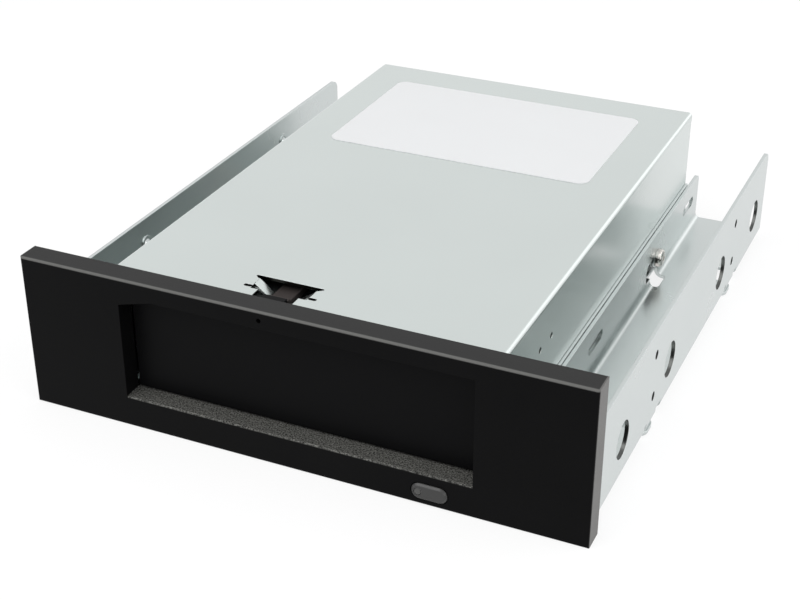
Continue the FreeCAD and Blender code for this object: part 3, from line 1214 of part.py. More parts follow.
def sata_connector():
    """Rear socket for data and power: a housing with two tongues, each with a keyed foot."""
    x, front, back = REAR_SOCKET_X, REAR_SOCKET_FRONT, REAR_SOCKET_BACK
    z0 = BOARD_TOP
    body = box(x, (front, back), (z0, z0 + REAR_SOCKET_H))
    power, data = sata_tongues()
    for tongue in (power, data):
        body = body.cut(box((tongue[0] - 1.2, tongue[1] + 1.2), (front + 4.0, back + 1),
                            (z0 + 0.9, z0 + REAR_SOCKET_H - 0.9)))
    for tongue in (power, data):
        body = body.fuse(box(tongue, (front + 3.9, back - 0.8), (z0 + 2.5, z0 + 3.7)))
        body = body.fuse(box((tongue[0], tongue[0] + 1.2), (front + 3.9, back - 0.8),
                             (z0 + 1.7, z0 + 2.6)))
    return body.removeSplitter()


def sata_contacts():
    strips = []
    for tongue, count in zip(sata_tongues(), (15, 7)):
        for k in range(count):
            x = tongue[0] + 1.2 + 1.2 * k
            strips.append(box((x - 0.3, x + 0.3), (REAR_SOCKET_FRONT + 4.4, REAR_SOCKET_BACK - 1.4),
                              (BOARD_TOP + 3.7, BOARD_TOP + 3.85)))
    return Part.makeCompound(strips)


def export(name, shape):
    shape = shape.copy()
    shape.translate(Vector(0, -MIDDLE_Y, 0))
    shape.exportStep("parts/" + name + ".step")
    solids = len(shape.Solids)
    print(f"{name:22s} solids {solids:2d}  volume {shape.Volume:10.2f}  valid {shape.isValid()}")


for piece in (front_bezel, door_flap, door_hinge_pin, door_spring, eject_button, button_lens,
              switch_plunger, tact_switch, status_led, front_board, front_flex, flex_connector,
              base_pan, top_cover, top_label, bracket_screws, cover_screws, slot_floor,
              slot_ceiling, release_slide, release_spring, latch_lever, latch_pivot,
              latch_spring, ejector_carriage, ejector_springs, mechanism_frame, frame_screws,
              eject_motor, motor_screws, motor_shaft, motor_pinion, reduction_gear, gear_shaft,
              cartridge_connector, cartridge_contacts, backplane_board, backplane_screws,
              link_header, main_board, board_screws, controller_chip, board_chips, capacitors,
              sata_connector, sata_contacts):
    export(piece.__name__, piece())

export("right_bracket", bracket())
export("left_bracket", mirrored(bracket()))
export("right_guide_rail", guide_rail())
export("left_guide_rail", mirrored(guide_rail()))
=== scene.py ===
import json
import math

import bmesh
import bpy
from mathutils import Matrix, Vector


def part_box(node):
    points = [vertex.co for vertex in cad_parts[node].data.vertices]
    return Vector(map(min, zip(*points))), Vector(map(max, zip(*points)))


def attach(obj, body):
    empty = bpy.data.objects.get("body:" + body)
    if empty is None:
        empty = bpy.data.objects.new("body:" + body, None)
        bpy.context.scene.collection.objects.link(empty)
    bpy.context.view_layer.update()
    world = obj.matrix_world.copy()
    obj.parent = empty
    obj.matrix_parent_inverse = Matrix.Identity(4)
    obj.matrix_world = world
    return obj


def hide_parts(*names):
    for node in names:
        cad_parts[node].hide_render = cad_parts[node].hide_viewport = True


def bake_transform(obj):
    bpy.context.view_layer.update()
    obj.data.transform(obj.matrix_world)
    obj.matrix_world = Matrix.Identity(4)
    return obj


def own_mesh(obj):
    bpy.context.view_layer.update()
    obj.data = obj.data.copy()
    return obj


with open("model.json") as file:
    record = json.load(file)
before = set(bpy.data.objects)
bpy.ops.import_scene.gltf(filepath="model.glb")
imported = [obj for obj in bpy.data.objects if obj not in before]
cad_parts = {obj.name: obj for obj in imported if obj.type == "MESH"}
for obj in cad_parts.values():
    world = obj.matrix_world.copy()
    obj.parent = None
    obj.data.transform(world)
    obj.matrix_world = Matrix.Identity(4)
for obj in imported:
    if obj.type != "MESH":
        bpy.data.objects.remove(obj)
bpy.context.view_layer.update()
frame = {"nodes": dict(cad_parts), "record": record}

bl_info = {
    "name": "Disk dock dressing",
    "version": (1, 0, 0),
    "blender": (4, 5, 0),
    "location": "3D View > Sidebar > Disk dock",
    "description": "Finishes and small pieces for an internal removable disk dock",
    "category": "Object",
}

MM = 0.001
NODES = frame["nodes"]
SLOT_OF = {entry["node"]: entry["material_slot"] for entry in frame["record"]["subparts"]}
FINISH = {}

# Extent of the bezel's coarse ledge, across the dock, behind the bezel's face and upwards, where
# the grain is coarser and its grains get a painted highlight
LEDGE_X = (-46.4 * MM, 46.2 * MM)
LEDGE_Y = (0.15 * MM, 7.0 * MM)
LEDGE_Z = (7.9 * MM, 8.7 * MM)

# Extent of the cover's cut-out over the release slide, across and behind the cover's front edge
CUT_OUT_X = (-30 * MM, 12 * MM)
CUT_OUT_Y = (1 * MM, 24 * MM)

# Slightly more than the thickness of the cover's and of a bracket's sheet
COVER_SHEET = 0.9 * MM
BRACKET_SHEET = 1.1 * MM

# Shanks of the screws, and a length that no screw exceeds and no two screws of a group come within
SHANK_RADIUS = 1.0 * MM
SHANK_LENGTH = 2.0 * MM
SCREW_REACH = 9 * MM

# Brightness of the white that the floor is seen as, and its share over the floor's cloth
FLOOR_WHITE = 1.06
FLOOR_SHARE = 0.75


# Sizes and colours a user would change


class DockFinish(bpy.types.PropertyGroup):
    cover: bpy.props.FloatVectorProperty(
        name="Cover", description="Colour of the bright top cover", subtype="COLOR",
        default=(0.615, 0.66, 0.648))
    # Painted shade on the cover's cut edges at the opening, where the sheet's thickness lies in
    # shade
    cut_edge_painted_shade: bpy.props.FloatVectorProperty(
        name="Cut edge", description="Colour of the cover's raw cut edges at the opening",
        subtype="COLOR", default=(0.03, 0.03, 0.028))
    zinc: bpy.props.FloatVectorProperty(
        name="Zinc", description="Colour of the zinc plated brackets and pan", subtype="COLOR",
        default=(0.575, 0.612, 0.607))
    # Painted shade on the cut edges in the right bracket's holes, which look into shadow
    zinc_edge_painted_shade: bpy.props.FloatVectorProperty(
        name="Zinc edge", description="Colour of the cut edges in the right bracket's holes",
        subtype="COLOR", default=(0.11, 0.114, 0.11))
    bezel: bpy.props.FloatVectorProperty(
        name="Bezel", description="Colour of the bezel's plastic", subtype="COLOR",
        default=(0.0031, 0.0031, 0.0033))
    # Painted highlight on the grains of the bezel's coarse ledge, standing in for the light that
    # they catch
    ledge_grain_painted_highlight: bpy.props.FloatVectorProperty(
        name="Coarse bezel", description="Colour of the grains on the bezel's coarse ledge",
        subtype="COLOR", default=(0.21, 0.21, 0.195))
    # Painted highlight along the bezel's upper front edge
    bezel_rim_painted_highlight: bpy.props.FloatVectorProperty(
        name="Bezel rim", description="Colour of the bezel's upper front edge", subtype="COLOR",
        default=(0.13, 0.13, 0.125))
    # Painted highlight on the bezel's right end, standing in for the reflection of the light on
    # the right
    bezel_end_painted_highlight: bpy.props.FloatVectorProperty(
        name="Bezel end", description="Colour of the bezel's right end", subtype="COLOR",
        default=(0.14, 0.138, 0.134))
    # Painted highlight on the bezel's upper face, lighter than its front as the light falls on it
    bezel_top_painted_highlight: bpy.props.FloatVectorProperty(
        name="Bezel top", description="Colour of the bezel's upper face", subtype="COLOR",
        default=(0.032, 0.032, 0.032))
    door: bpy.props.FloatVectorProperty(
        name="Door", description="Colour of the flap door", subtype="COLOR",
        default=(0.0034, 0.0034, 0.0037))
    label: bpy.props.FloatVectorProperty(
        name="Label", description="Colour of the blank label", subtype="COLOR",
        default=(0.735, 0.745, 0.755))
    board: bpy.props.FloatVectorProperty(
        name="Board", description="Colour of the boards' lacquer", subtype="COLOR",
        default=(0.012, 0.11, 0.045))


class DockHardware(bpy.types.PropertyGroup):
    head_radius: bpy.props.FloatProperty(
        name="Head radius", description="Radius of a bracket screw's head", unit="LENGTH",
        default=2.6 * MM, precision=5)
    head_height: bpy.props.FloatProperty(
        name="Head height", description="Height of a bracket screw's head", unit="LENGTH",
        default=2.0 * MM, precision=5)
    cover_head_radius: bpy.props.FloatProperty(
        name="Cover screw radius", description="Radius of a cover screw's head", unit="LENGTH",
        default=2.2 * MM, precision=5)
    cover_head_height: bpy.props.FloatProperty(
        name="Cover screw height", description="Height of a cover screw's head", unit="LENGTH",
        default=1.3 * MM, precision=5)
    lens_dome: bpy.props.FloatProperty(
        name="Lens dome", description="How far back the rounding of the light pipe's end goes",
        unit="LENGTH", default=0.3 * MM, precision=5)


class DockStage(bpy.types.PropertyGroup):
    key: bpy.props.FloatProperty(
        name="Top light", description="Power of the soft light over the dock", unit="POWER",
        default=5.3)
    side: bpy.props.FloatProperty(
        name="Side light", description="Power of the soft light on the right", unit="POWER",
        default=6.0)
    back: bpy.props.FloatProperty(
        name="Back light", description="Power of the light behind the dock, which picks out edges",
        unit="POWER", default=0.7)
    sky: bpy.props.FloatProperty(
        name="Sky", description="Strength of the even light from all round", default=0.55)


# Node trees


def add_node(tree, kind, **values):
    """Node of a kind, with its settings and its sockets' plain values set by name."""
    node = tree.nodes.new("ShaderNode" + kind)
    for key, value in values.items():
        if hasattr(node, key):
            setattr(node, key, value)
        else:
            node.inputs[key.replace("_", " ")].default_value = value
    return node


def new_group(name, inputs, outputs):
    """Shader node group with named sockets, and its input and output nodes."""
    group = bpy.data.node_groups.new(name, "ShaderNodeTree")
    for label, kind, default in inputs:
        socket = group.interface.new_socket(name=label, in_out="INPUT", socket_type=kind)
        socket.default_value = default
    for label, kind in outputs:
        group.interface.new_socket(name=label, in_out="OUTPUT", socket_type=kind)
    return group, group.nodes.new("NodeGroupInput"), group.nodes.new("NodeGroupOutput")


def make_grain_group():
    """Fine moulded or rolled grain. Height feeds a bump, Mask is the same pattern sharpened."""
    group, given, result = new_group(
        "Fine grain",
        [("Vector", "NodeSocketVector", (0, 0, 0)), ("Scale", "NodeSocketFloat", 2500.0),
         ("Stretch", "NodeSocketVector", (1, 1, 1))],
        [("Height", "NodeSocketFloat"), ("Mask", "NodeSocketFloat")])
    place = group.nodes.new("ShaderNodeVectorMath")
    place.operation = "MULTIPLY"
    group.links.new(given.outputs["Vector"], place.inputs[0])
    group.links.new(given.outputs["Stretch"], place.inputs[1])
    noise = add_node(group, "TexNoise", Detail=4.0, Roughness=0.65)
    group.links.new(place.outputs[0], noise.inputs["Vector"])
    group.links.new(given.outputs["Scale"], noise.inputs["Scale"])
    sharpen = add_node(group, "MapRange")
    sharpen.inputs["From Min"].default_value = 0.38
    sharpen.inputs["From Max"].default_value = 0.66
    group.links.new(noise.outputs["Fac"], sharpen.inputs["Value"])
    group.links.new(noise.outputs["Fac"], result.inputs["Height"])
    group.links.new(sharpen.outputs["Result"], result.inputs["Mask"])


def make_mottle_group():
    """Slow cloudiness that shifts a colour a little and gives a mask for its roughness."""
    group, given, result = new_group(
        "Cloudiness",
        [("Vector", "NodeSocketVector", (0, 0, 0)), ("Scale", "NodeSocketFloat", 40.0),
         ("Colour", "NodeSocketColor", (0.5, 0.5, 0.5, 1)),
         ("Second colour", "NodeSocketColor", (0.5, 0.5, 0.5, 1)),
         ("Rough low", "NodeSocketFloat", 0.3), ("Rough high", "NodeSocketFloat", 0.4)],
        [("Colour", "NodeSocketColor"), ("Roughness", "NodeSocketFloat")])
    noise = add_node(group, "TexNoise", Detail=3.0, Roughness=0.55)
    group.links.new(given.outputs["Vector"], noise.inputs["Vector"])
    group.links.new(given.outputs["Scale"], noise.inputs["Scale"])
    mask = add_node(group, "MapRange")
    mask.inputs["From Min"].default_value = 0.3
    mask.inputs["From Max"].default_value = 0.7
    group.links.new(noise.outputs["Fac"], mask.inputs["Value"])
    mix = group.nodes.new("ShaderNodeMix")
    mix.data_type = "RGBA"
    group.links.new(mask.outputs["Result"], mix.inputs[0])
    group.links.new(given.outputs["Colour"], colour_socket(mix.inputs, "A"))
    group.links.new(given.outputs["Second colour"], colour_socket(mix.inputs, "B"))
    rough = add_node(group, "MapRange")
    group.links.new(mask.outputs["Result"], rough.inputs["Value"])
    group.links.new(given.outputs["Rough low"], rough.inputs["To Min"])
    group.links.new(given.outputs["Rough high"], rough.inputs["To Max"])
    group.links.new(colour_socket(mix.outputs), result.inputs["Colour"])
    group.links.new(rough.outputs["Result"], result.inputs["Roughness"])


def colour_socket(sockets, name=None):
    """The colour socket of a Mix node, which has one of the same name for each data type."""
    for socket in sockets:
        if socket.type == "RGBA" and (name is None or socket.name == name):
            return socket
    raise ValueError("no colour socket")


def new_finish(name, colour, roughness, metallic=0.0, **plain):
    """Material with a Principled shader whose plain values are set on its own sockets."""
    material = bpy.data.materials.new(name)
    material.use_nodes = True
    material.diffuse_color = (*colour, 1)
    tree = material.node_tree
    shader = next(node for node in tree.nodes if node.type == "BSDF_PRINCIPLED")
    shader.inputs["Base Color"].default_value = (*colour, 1)
    shader.inputs["Roughness"].default_value = roughness
    shader.inputs["Metallic"].default_value = metallic
    for label, value in plain.items():
        shader.inputs[label.replace("_", " ")].default_value = value
    where = add_node(tree, "TexCoord").outputs["Object"]
    return material, tree, shader, where


def put_group(tree, name, where, **values):
    node = tree.nodes.new("ShaderNodeGroup")
    node.node_tree = bpy.data.node_groups[name]
    tree.links.new(where, node.inputs["Vector"])
    for label, value in values.items():
        node.inputs[label.replace("_", " ")].default_value = value
    return node


def add_bump(tree, shader, height, distance, round_edges=None):
    """Bump from a height, over edges that catch the light as if rounded."""
    bump = add_node(tree, "Bump", Distance=distance, Strength=1.0)
    tree.links.new(height, bump.inputs["Height"])
    if round_edges:
        bevel = add_node(tree, "Bevel", samples=4, Radius=round_edges)
        tree.links.new(bevel.outputs["Normal"], bump.inputs["Normal"])
    tree.links.new(bump.outputs["Normal"], shader.inputs["Normal"])


def shade(colour, factor):
    return tuple(channel * factor for channel in colour)


def sheet_metal(name, colour, rough=(0.3, 0.42), depth=0.012):
    """Plated sheet steel with a rolled grain and soft edges. Depth is in millimetres."""
    material, tree, shader, where = new_finish(name, colour, rough[0], 1.0)
    cloud = put_group(tree, "Cloudiness", where, Scale=28.0, Colour=(*shade(colour, 0.99), 1),
                      Second_colour=(*shade(colour, 1.01), 1), Rough_low=rough[0],
                      Rough_high=rough[1])
    tree.links.new(cloud.outputs["Colour"], shader.inputs["Base Color"])
    tree.links.new(cloud.outputs["Roughness"], shader.inputs["Roughness"])
    fine = put_group(tree, "Fine grain", where, Scale=2200.0, Stretch=(1, 0.35, 1))
    add_bump(tree, shader, fine.outputs["Height"], depth * MM, 0.25 * MM)
    return material


def paint_shade_on_cut_edges(material, colour, axis, *limits):
    """Paints shade, as a dark colour, on the faces of a sheet that don't face along its axis,
    within limits of place.

    Each limit is an axis, its low and high end and how soft the ends are.
    """
    tree = material.node_tree
    shader = next(node for node in tree.nodes if node.type == "BSDF_PRINCIPLED")
    plain = shader.inputs["Base Color"].links[0].from_socket
    coords = add_node(tree, "TexCoord")
    place = add_node(tree, "SeparateXYZ")
    tree.links.new(coords.outputs["Object"], place.inputs[0])
    facing = add_node(tree, "SeparateXYZ")
    tree.links.new(coords.outputs["Normal"], facing.inputs[0])
    masks = [between(tree, place.outputs[along], low, high, soft)
             for along, low, high, soft in limits]
    masks.append(between(tree, facing.outputs[axis], -0.5, 0.5, 0.1))
    # Painted shade on the cut edges, over the plain colour
    edge = blend_colours(tree, product(tree, *masks), plain, colour)
    tree.links.new(edge, shader.inputs["Base Color"])


def bright_cover(finish):
    """Cover steel with painted shade on its cut edges round the release slide's opening."""
    material = sheet_metal("bright cover", tuple(finish.cover), (0.22, 0.26), depth=0.006)
    low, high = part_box("top_cover")
    paint_shade_on_cut_edges(material, tuple(finish.cut_edge_painted_shade), 2,
                     (0, *CUT_OUT_X, 0.5 * MM),
                     (1, low.y + CUT_OUT_Y[0], low.y + CUT_OUT_Y[1], 0.5 * MM),
                     (2, high.z - COVER_SHEET, high.z, 0.04 * MM))
    return material


def zinc_plate(finish):
    """Bracket and pan steel with painted shade on the cut edges in the right bracket's outer wall.
    """
    material = sheet_metal("zinc plate", tuple(finish.zinc), (0.26, 0.32), depth=0.006)
    low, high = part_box("right_bracket")
    paint_shade_on_cut_edges(material, tuple(finish.zinc_edge_painted_shade), 0,
                     (0, high.x - BRACKET_SHEET, high.x + 1 * MM, 0.05 * MM),
                     (2, low.z + 6 * MM, high.z - 1 * MM, 0.5 * MM))
    return material


def moulded(name, colour, rough=(0.45, 0.6), grain=2600.0, depth=0.03, edges=0.2,
            cloudy=(0.9, 1.12), **plain):
    """Moulded plastic with a spark-eroded grain. Depth and edges are in millimetres."""
    material, tree, shader, where = new_finish(name, colour, rough[0], **plain)
    cloud = put_group(tree, "Cloudiness", where, Scale=45.0, Colour=(*shade(colour, cloudy[0]), 1),
                      Second_colour=(*shade(colour, cloudy[1]), 1), Rough_low=rough[0],
                      Rough_high=rough[1])
    tree.links.new(cloud.outputs["Colour"], shader.inputs["Base Color"])
    tree.links.new(cloud.outputs["Roughness"], shader.inputs["Roughness"])
    fine = put_group(tree, "Fine grain", where, Scale=grain)
    add_bump(tree, shader, fine.outputs["Height"], depth * MM, edges * MM)
    return material


def turned_metal(name, colour, rough=0.25):
    """Plated or turned metal of small parts, with a very fine grain."""
    material, tree, shader, where = new_finish(name, colour, rough, 1.0)
    cloud = put_group(tree, "Cloudiness", where, Scale=300.0, Colour=(*shade(colour, 0.85), 1),
                      Second_colour=(*shade(colour, 1.1), 1), Rough_low=rough * 0.8,
                      Rough_high=rough * 1.5)
    tree.links.new(cloud.outputs["Colour"], shader.inputs["Base Color"])
    tree.links.new(cloud.outputs["Roughness"], shader.inputs["Roughness"])
    fine = put_group(tree, "Fine grain", where, Scale=6000.0)
    add_bump(tree, shader, fine.outputs["Height"], 0.005 * MM)
    return material


def between(tree, value, low, high, soft):
    """Mask that is 1 where a value lies between two limits, with soft ends."""
    masks = []
    for edge, sign in ((low, 1), (high, -1)):
        ramp = add_node(tree, "MapRange", interpolation_type="SMOOTHSTEP")
        tree.links.new(value, ramp.inputs["Value"])
        ramp.inputs["From Min"].default_value = edge - sign * soft
        ramp.inputs["From Max"].default_value = edge + sign * soft
        masks.append(ramp.outputs["Result"])
    return product(tree, *masks)


def chain(tree, operation, *values):
    """One Math operation carried through values, each a socket or a plain number."""
    result = values[0]
    for value in values[1:]:
        node = add_node(tree, "Math", operation=operation)
        tree.links.new(result, node.inputs[0])
        if isinstance(value, bpy.types.NodeSocket):
            tree.links.new(value, node.inputs[1])
        else:
            node.inputs[1].default_value = value
        result = node.outputs[0]
    return result


def product(tree, *values):
    return chain(tree, "MULTIPLY", *values)


def largest(tree, *values):
    return chain(tree, "MAXIMUM", *values)


def seen_rays(tree):
    """Mask of the rays that see a surface straight, by reflection or through glass."""
    path = add_node(tree, "LightPath")
    return largest(tree, *[path.outputs[f"Is {kind} Ray"]
                           for kind in ("Camera", "Glossy", "Transmission")])


def blend_colours(tree, factor, first, second):
    """Mix of two colours, each a socket or plain red, green and blue."""
    mix = tree.nodes.new("ShaderNodeMix")
    mix.data_type = "RGBA"
    tree.links.new(factor, mix.inputs[0])
    for name, colour in (("A", first), ("B", second)):
        socket = colour_socket(mix.inputs, name)
        if isinstance(colour, bpy.types.NodeSocket):
            tree.links.new(colour, socket)
        else:
            socket.default_value = (*colour, 1)
    return colour_socket(mix.outputs)


def bezel_plastic(finish):
    """Dull black plastic, with painted highlights on its top, its upper front edge and its right
    end, and on the grains of its coarse ledge.
    """
    colour = tuple(finish.bezel)
    material, tree, shader, where = new_finish("bezel plastic", colour, 0.42,
                                               Specular_IOR_Level=0.05)
    split = add_node(tree, "SeparateXYZ")
    tree.links.new(where, split.inputs[0])
    x, y, z = split.outputs
    soft = 0.08 * MM
    low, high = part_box("front_bezel")
    ledge = product(tree, between(tree, x, *LEDGE_X, soft),
                    between(tree, y, low.y + LEDGE_Y[0], low.y + LEDGE_Y[1], soft),
                    between(tree, z, *LEDGE_Z, soft))
    # Painted highlight along the bezel's upper front edge
    rim = product(tree, between(tree, z, high.z - 0.5 * MM, high.z + 1 * MM, 0.15 * MM),
                  between(tree, y, low.y - 1 * MM, low.y + 0.5 * MM, 0.15 * MM))
    # Painted highlight: the bezel's upper face is lighter than its front
    top = between(tree, z, high.z - 0.1 * MM, high.z + 1 * MM, 0.05 * MM)
    # Painted highlight on the bezel's right end
    end = product(tree, between(tree, x, high.x - 0.35 * MM, high.x + 1 * MM, 0.1 * MM),
                  between(tree, y, low.y + 0.4 * MM, high.y + 1 * MM, 0.2 * MM))
    coarse = put_group(tree, "Fine grain", where, Scale=2600.0)
    # The ledge's coarse grain is real; the pale colour on its grains is a painted highlight
    grains = product(tree, ledge, coarse.outputs["Mask"])
    cloud = put_group(tree, "Cloudiness", where, Scale=45.0, Colour=(*shade(colour, 0.9), 1),
                      Second_colour=(*shade(colour, 1.12), 1), Rough_low=0.38, Rough_high=0.46)
    # Painted highlights laid over the plastic's own colour, on the top, the upper front edge, the
    # right end and the ledge's grains
    base = blend_colours(tree, top, cloud.outputs["Colour"], tuple(finish.bezel_top_painted_highlight))
    base = blend_colours(tree, rim, base, tuple(finish.bezel_rim_painted_highlight))
    base = blend_colours(tree, end, base, tuple(finish.bezel_end_painted_highlight))
    base = blend_colours(tree, grains, base, tuple(finish.ledge_grain_painted_highlight))
    tree.links.new(base, shader.inputs["Base Color"])
    tree.links.new(cloud.outputs["Roughness"], shader.inputs["Roughness"])
    fine = put_group(tree, "Fine grain", where, Scale=2300.0)
    height = largest(tree, product(tree, ledge, coarse.outputs["Height"]),
                     product(tree, fine.outputs["Height"], 0.5))
    add_bump(tree, shader, height, 0.05 * MM, 0.12 * MM)
    return material


def assign_slot(material, slot):
    """Gives a finish to all CAD nodes of a slot, and keeps it for the new pieces."""
    FINISH[slot] = material
    for node, name in SLOT_OF.items():
        if name == slot:
            for holder in NODES[node].material_slots:
                holder.material = material


def deselect():
    if bpy.context.mode != "OBJECT":
        bpy.ops.object.mode_set(mode="OBJECT")
    bpy.ops.object.select_all(action="DESELECT")


# Operators


class DOCK_OT_sheet_metal(bpy.types.Operator):
    """Finishes the cover, the pan, the brackets and the inner sheets"""
    bl_idname = "dock.sheet_metal"
    bl_label = "Finish the sheet metal"

    def execute(self, context):
        finish = context.scene.dock_finish
        assign_slot(bright_cover(finish), "cover_steel")
        assign_slot(zinc_plate(finish), "zinc_steel")
        assign_slot(sheet_metal("inner sheet", shade(finish.zinc, 0.92)), "inner_steel")
        assign_slot(sheet_metal("dull slide", (0.055, 0.047, 0.045), (0.5, 0.65)), "slide_steel")
        assign_slot(sheet_metal("motor can", (0.6, 0.61, 0.62)), "motor_steel")
        return {"FINISHED"}


class DOCK_OT_plastics(bpy.types.Operator):
    """Finishes the bezel, the door, the rails, the gear and the connectors"""
    bl_idname = "dock.plastics"
    bl_label = "Finish the plastics"

    def execute(self, context):
        finish = context.scene.dock_finish
        assign_slot(bezel_plastic(finish), "bezel_plastic")
        assign_slot(moulded("door plastic", tuple(finish.door), (0.42, 0.5), 2600.0, 0.01,
                            Specular_IOR_Level=0.05), "door_plastic")
        assign_slot(moulded("smoked button", (0.016, 0.016, 0.0155), (0.3, 0.42), 900.0, 0.002,
                            edges=0.5, Coat_Weight=0.25, Coat_Roughness=0.2), "button_plastic")
        assign_slot(moulded("lens", (0.05, 0.05, 0.047), (0.15, 0.2), 900.0, 0.001,
                            Coat_Weight=0.3), "lens_plastic")
        assign_slot(moulded("rail plastic", (0.02, 0.02, 0.022), (0.4, 0.5)), "rail_plastic")
        assign_slot(moulded("gear plastic", (0.78, 0.76, 0.69), (0.35, 0.45)), "gear_plastic")
        assign_slot(moulded("connector plastic", (0.012, 0.012, 0.013), (0.35, 0.45)),
                    "connector_plastic")
        assign_slot(moulded("chip plastic", (0.012, 0.012, 0.012), (0.5, 0.65)), "chip_plastic")
        assign_slot(moulded("led", (0.35, 0.75, 0.3), (0.1, 0.15)), "led_plastic")
        return {"FINISHED"}


class DOCK_OT_small_parts(bpy.types.Operator):
    """Finishes the label, the pins, the springs, the boards and the contacts"""
    bl_idname = "dock.small_parts"
    bl_label = "Finish the small parts"

    def execute(self, context):
        finish = context.scene.dock_finish
        assign_slot(moulded("label film", tuple(finish.label), (0.4, 0.5), 1500.0, 0.004,
                            cloudy=(0.99, 1.01)), "label_paper")
        assign_slot(turned_metal("spring wire", (0.55, 0.56, 0.58), 0.2), "spring_wire")
        assign_slot(turned_metal("ground pin", (0.66, 0.66, 0.68), 0.15), "pin_steel")
        assign_slot(turned_metal("nickel screw", (0.62, 0.60, 0.57), 0.2), "screw_steel")
        assign_slot(turned_metal("brass", (0.70, 0.50, 0.20), 0.25), "brass")
        assign_slot(turned_metal("gold contact", (0.80, 0.56, 0.20), 0.2), "contact_gold")
        assign_slot(turned_metal("capacitor can", (0.66, 0.67, 0.69), 0.3), "capacitor_can")
        assign_slot(moulded("board lacquer", tuple(finish.board), (0.25, 0.35)), "circuit_board")
        assign_slot(moulded("flex film", (0.62, 0.27, 0.04), (0.2, 0.3)), "flex_film")
        return {"FINISHED"}


def edit_mesh(piece):
    """Goes into edit mode on one piece, with nothing selected in it."""
    deselect()
    piece.select_set(True)
    bpy.context.view_layer.objects.active = piece
    bpy.ops.object.mode_set(mode="EDIT")
    bpy.ops.mesh.select_all(action="DESELECT")


def select_faces(piece, test):
    """Selects, in edit mode, the faces whose centre and normal pass a test."""
    bpy.ops.mesh.select_mode(type="FACE")
    bpy.ops.mesh.select_all(action="DESELECT")
    mesh = bmesh.from_edit_mesh(piece.data)
    for face in mesh.faces:
        face.select = test(face.calc_center_median(), face.normal)
    mesh.select_flush_mode()
    bmesh.update_edit_mesh(piece.data)


def select_edges(piece, test):
    """Selects, in edit mode, the edges whose two ends pass a test."""
    bpy.ops.mesh.select_mode(type="EDGE")
    bpy.ops.mesh.select_all(action="DESELECT")
    mesh = bmesh.from_edit_mesh(piece.data)
    for edge in mesh.edges:
        edge.select = test(edge.verts[0].co, edge.verts[1].co)
    mesh.select_flush_mode()
    bmesh.update_edit_mesh(piece.data)


def finish_piece(piece, name, slot, body):
    """Bakes a piece's place into its mesh and ties it to its body and its finish."""
    deselect()
    piece.select_set(True)
    bpy.context.view_layer.objects.active = piece
    bpy.ops.object.transform_apply(location=True, rotation=True, scale=True)
    bpy.ops.object.shade_smooth_by_angle(angle=math.radians(35.0))
    piece.name = name
    piece.data.name = name
    piece.data.materials.clear()
    piece.data.materials.append(FINISH[slot])
    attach(piece, body)


def apply_modifiers(piece):
    deselect()
    piece.select_set(True)
    bpy.context.view_layer.objects.active = piece
    for modifier in list(piece.modifiers):
        bpy.ops.object.modifier_apply(modifier=modifier.name)


def recess_cutter(reach, wide, deep):
    """Crossed arms with sloping ends that cut a driver's recess, to a depth below z = 0."""
    arms = []
    for size in ((reach, wide), (wide, reach)):
        bpy.ops.mesh.primitive_cube_add(size=1, location=(0, 0, 0))
        arm = bpy.context.active_object
        arm.scale = (2 * size[0], 2 * size[1], 2 * deep)
        taper = (0.45, 0.8, 1) if size[0] > size[1] else (0.8, 0.45, 1)
        bpy.ops.object.transform_apply(scale=True)
        edit_mesh(arm)
        select_faces(arm, lambda centre, normal: normal.z < -0.9)
        bpy.ops.transform.resize(value=taper)
        bpy.ops.object.mode_set(mode="OBJECT")
        arms.append(arm)
        deselect()
    return arms


def domed_screw(radius, height, shank, length):
    """Pan-head screw along Z with a cross recess. The head's underside is at z = 0."""
    deselect()
    bpy.ops.mesh.primitive_cylinder_add(vertices=48, radius=radius, depth=height,
                                        location=(0, 0, height / 2))
    screw = bpy.context.active_object
    bpy.ops.object.transform_apply(location=True)
    edit_mesh(screw)
    select_edges(screw, lambda a, b: min(a.z, b.z) > height * 0.99)
    bpy.ops.mesh.bevel(offset=height * 0.5, segments=6, affect="EDGES")
    select_edges(screw, lambda a, b: max(a.z, b.z) < height * 0.01)
    bpy.ops.mesh.bevel(offset=height * 0.06, segments=2, affect="EDGES")
    select_faces(screw, lambda centre, normal: centre.z < height * 0.001 and normal.z < -0.9)
    bpy.ops.mesh.inset(thickness=radius * 0.94 - shank)
    bpy.ops.mesh.extrude_region_move(TRANSFORM_OT_translate={"value": (0, 0, -length)})
    bpy.ops.mesh.bevel(offset=shank * 0.25, segments=2, affect="EDGES")
    bpy.ops.object.mode_set(mode="OBJECT")
    for arm in recess_cutter(radius * 0.55, radius * 0.12, height * 0.55):
        arm.location.z = height
        cut = screw.modifiers.new("recess", "BOOLEAN")
        cut.operation = "DIFFERENCE"
        cut.object = arm
        apply_modifiers(screw)
        bpy.data.objects.remove(arm, do_unlink=True)
    return screw


def copy_of(piece):
    twin = piece.copy()
    twin.data = piece.data.copy()
    bpy.context.scene.collection.objects.link(twin)
    return twin


def screw_places(node):
    """Low and high corner of each screw of a CAD group."""
    mesh = NODES[node].data
    groups = []
    for vertex in mesh.vertices:
        for group in groups:
            if (group[0] - vertex.co).length < SCREW_REACH:
                group.append(vertex.co)
                break
        else:
            groups.append([vertex.co])
    places = []
    for group in groups:
        low = Vector([min(p[i] for p in group) for i in range(3)])
        high = Vector([max(p[i] for p in group) for i in range(3)])
        places.append((low, high))
    return places


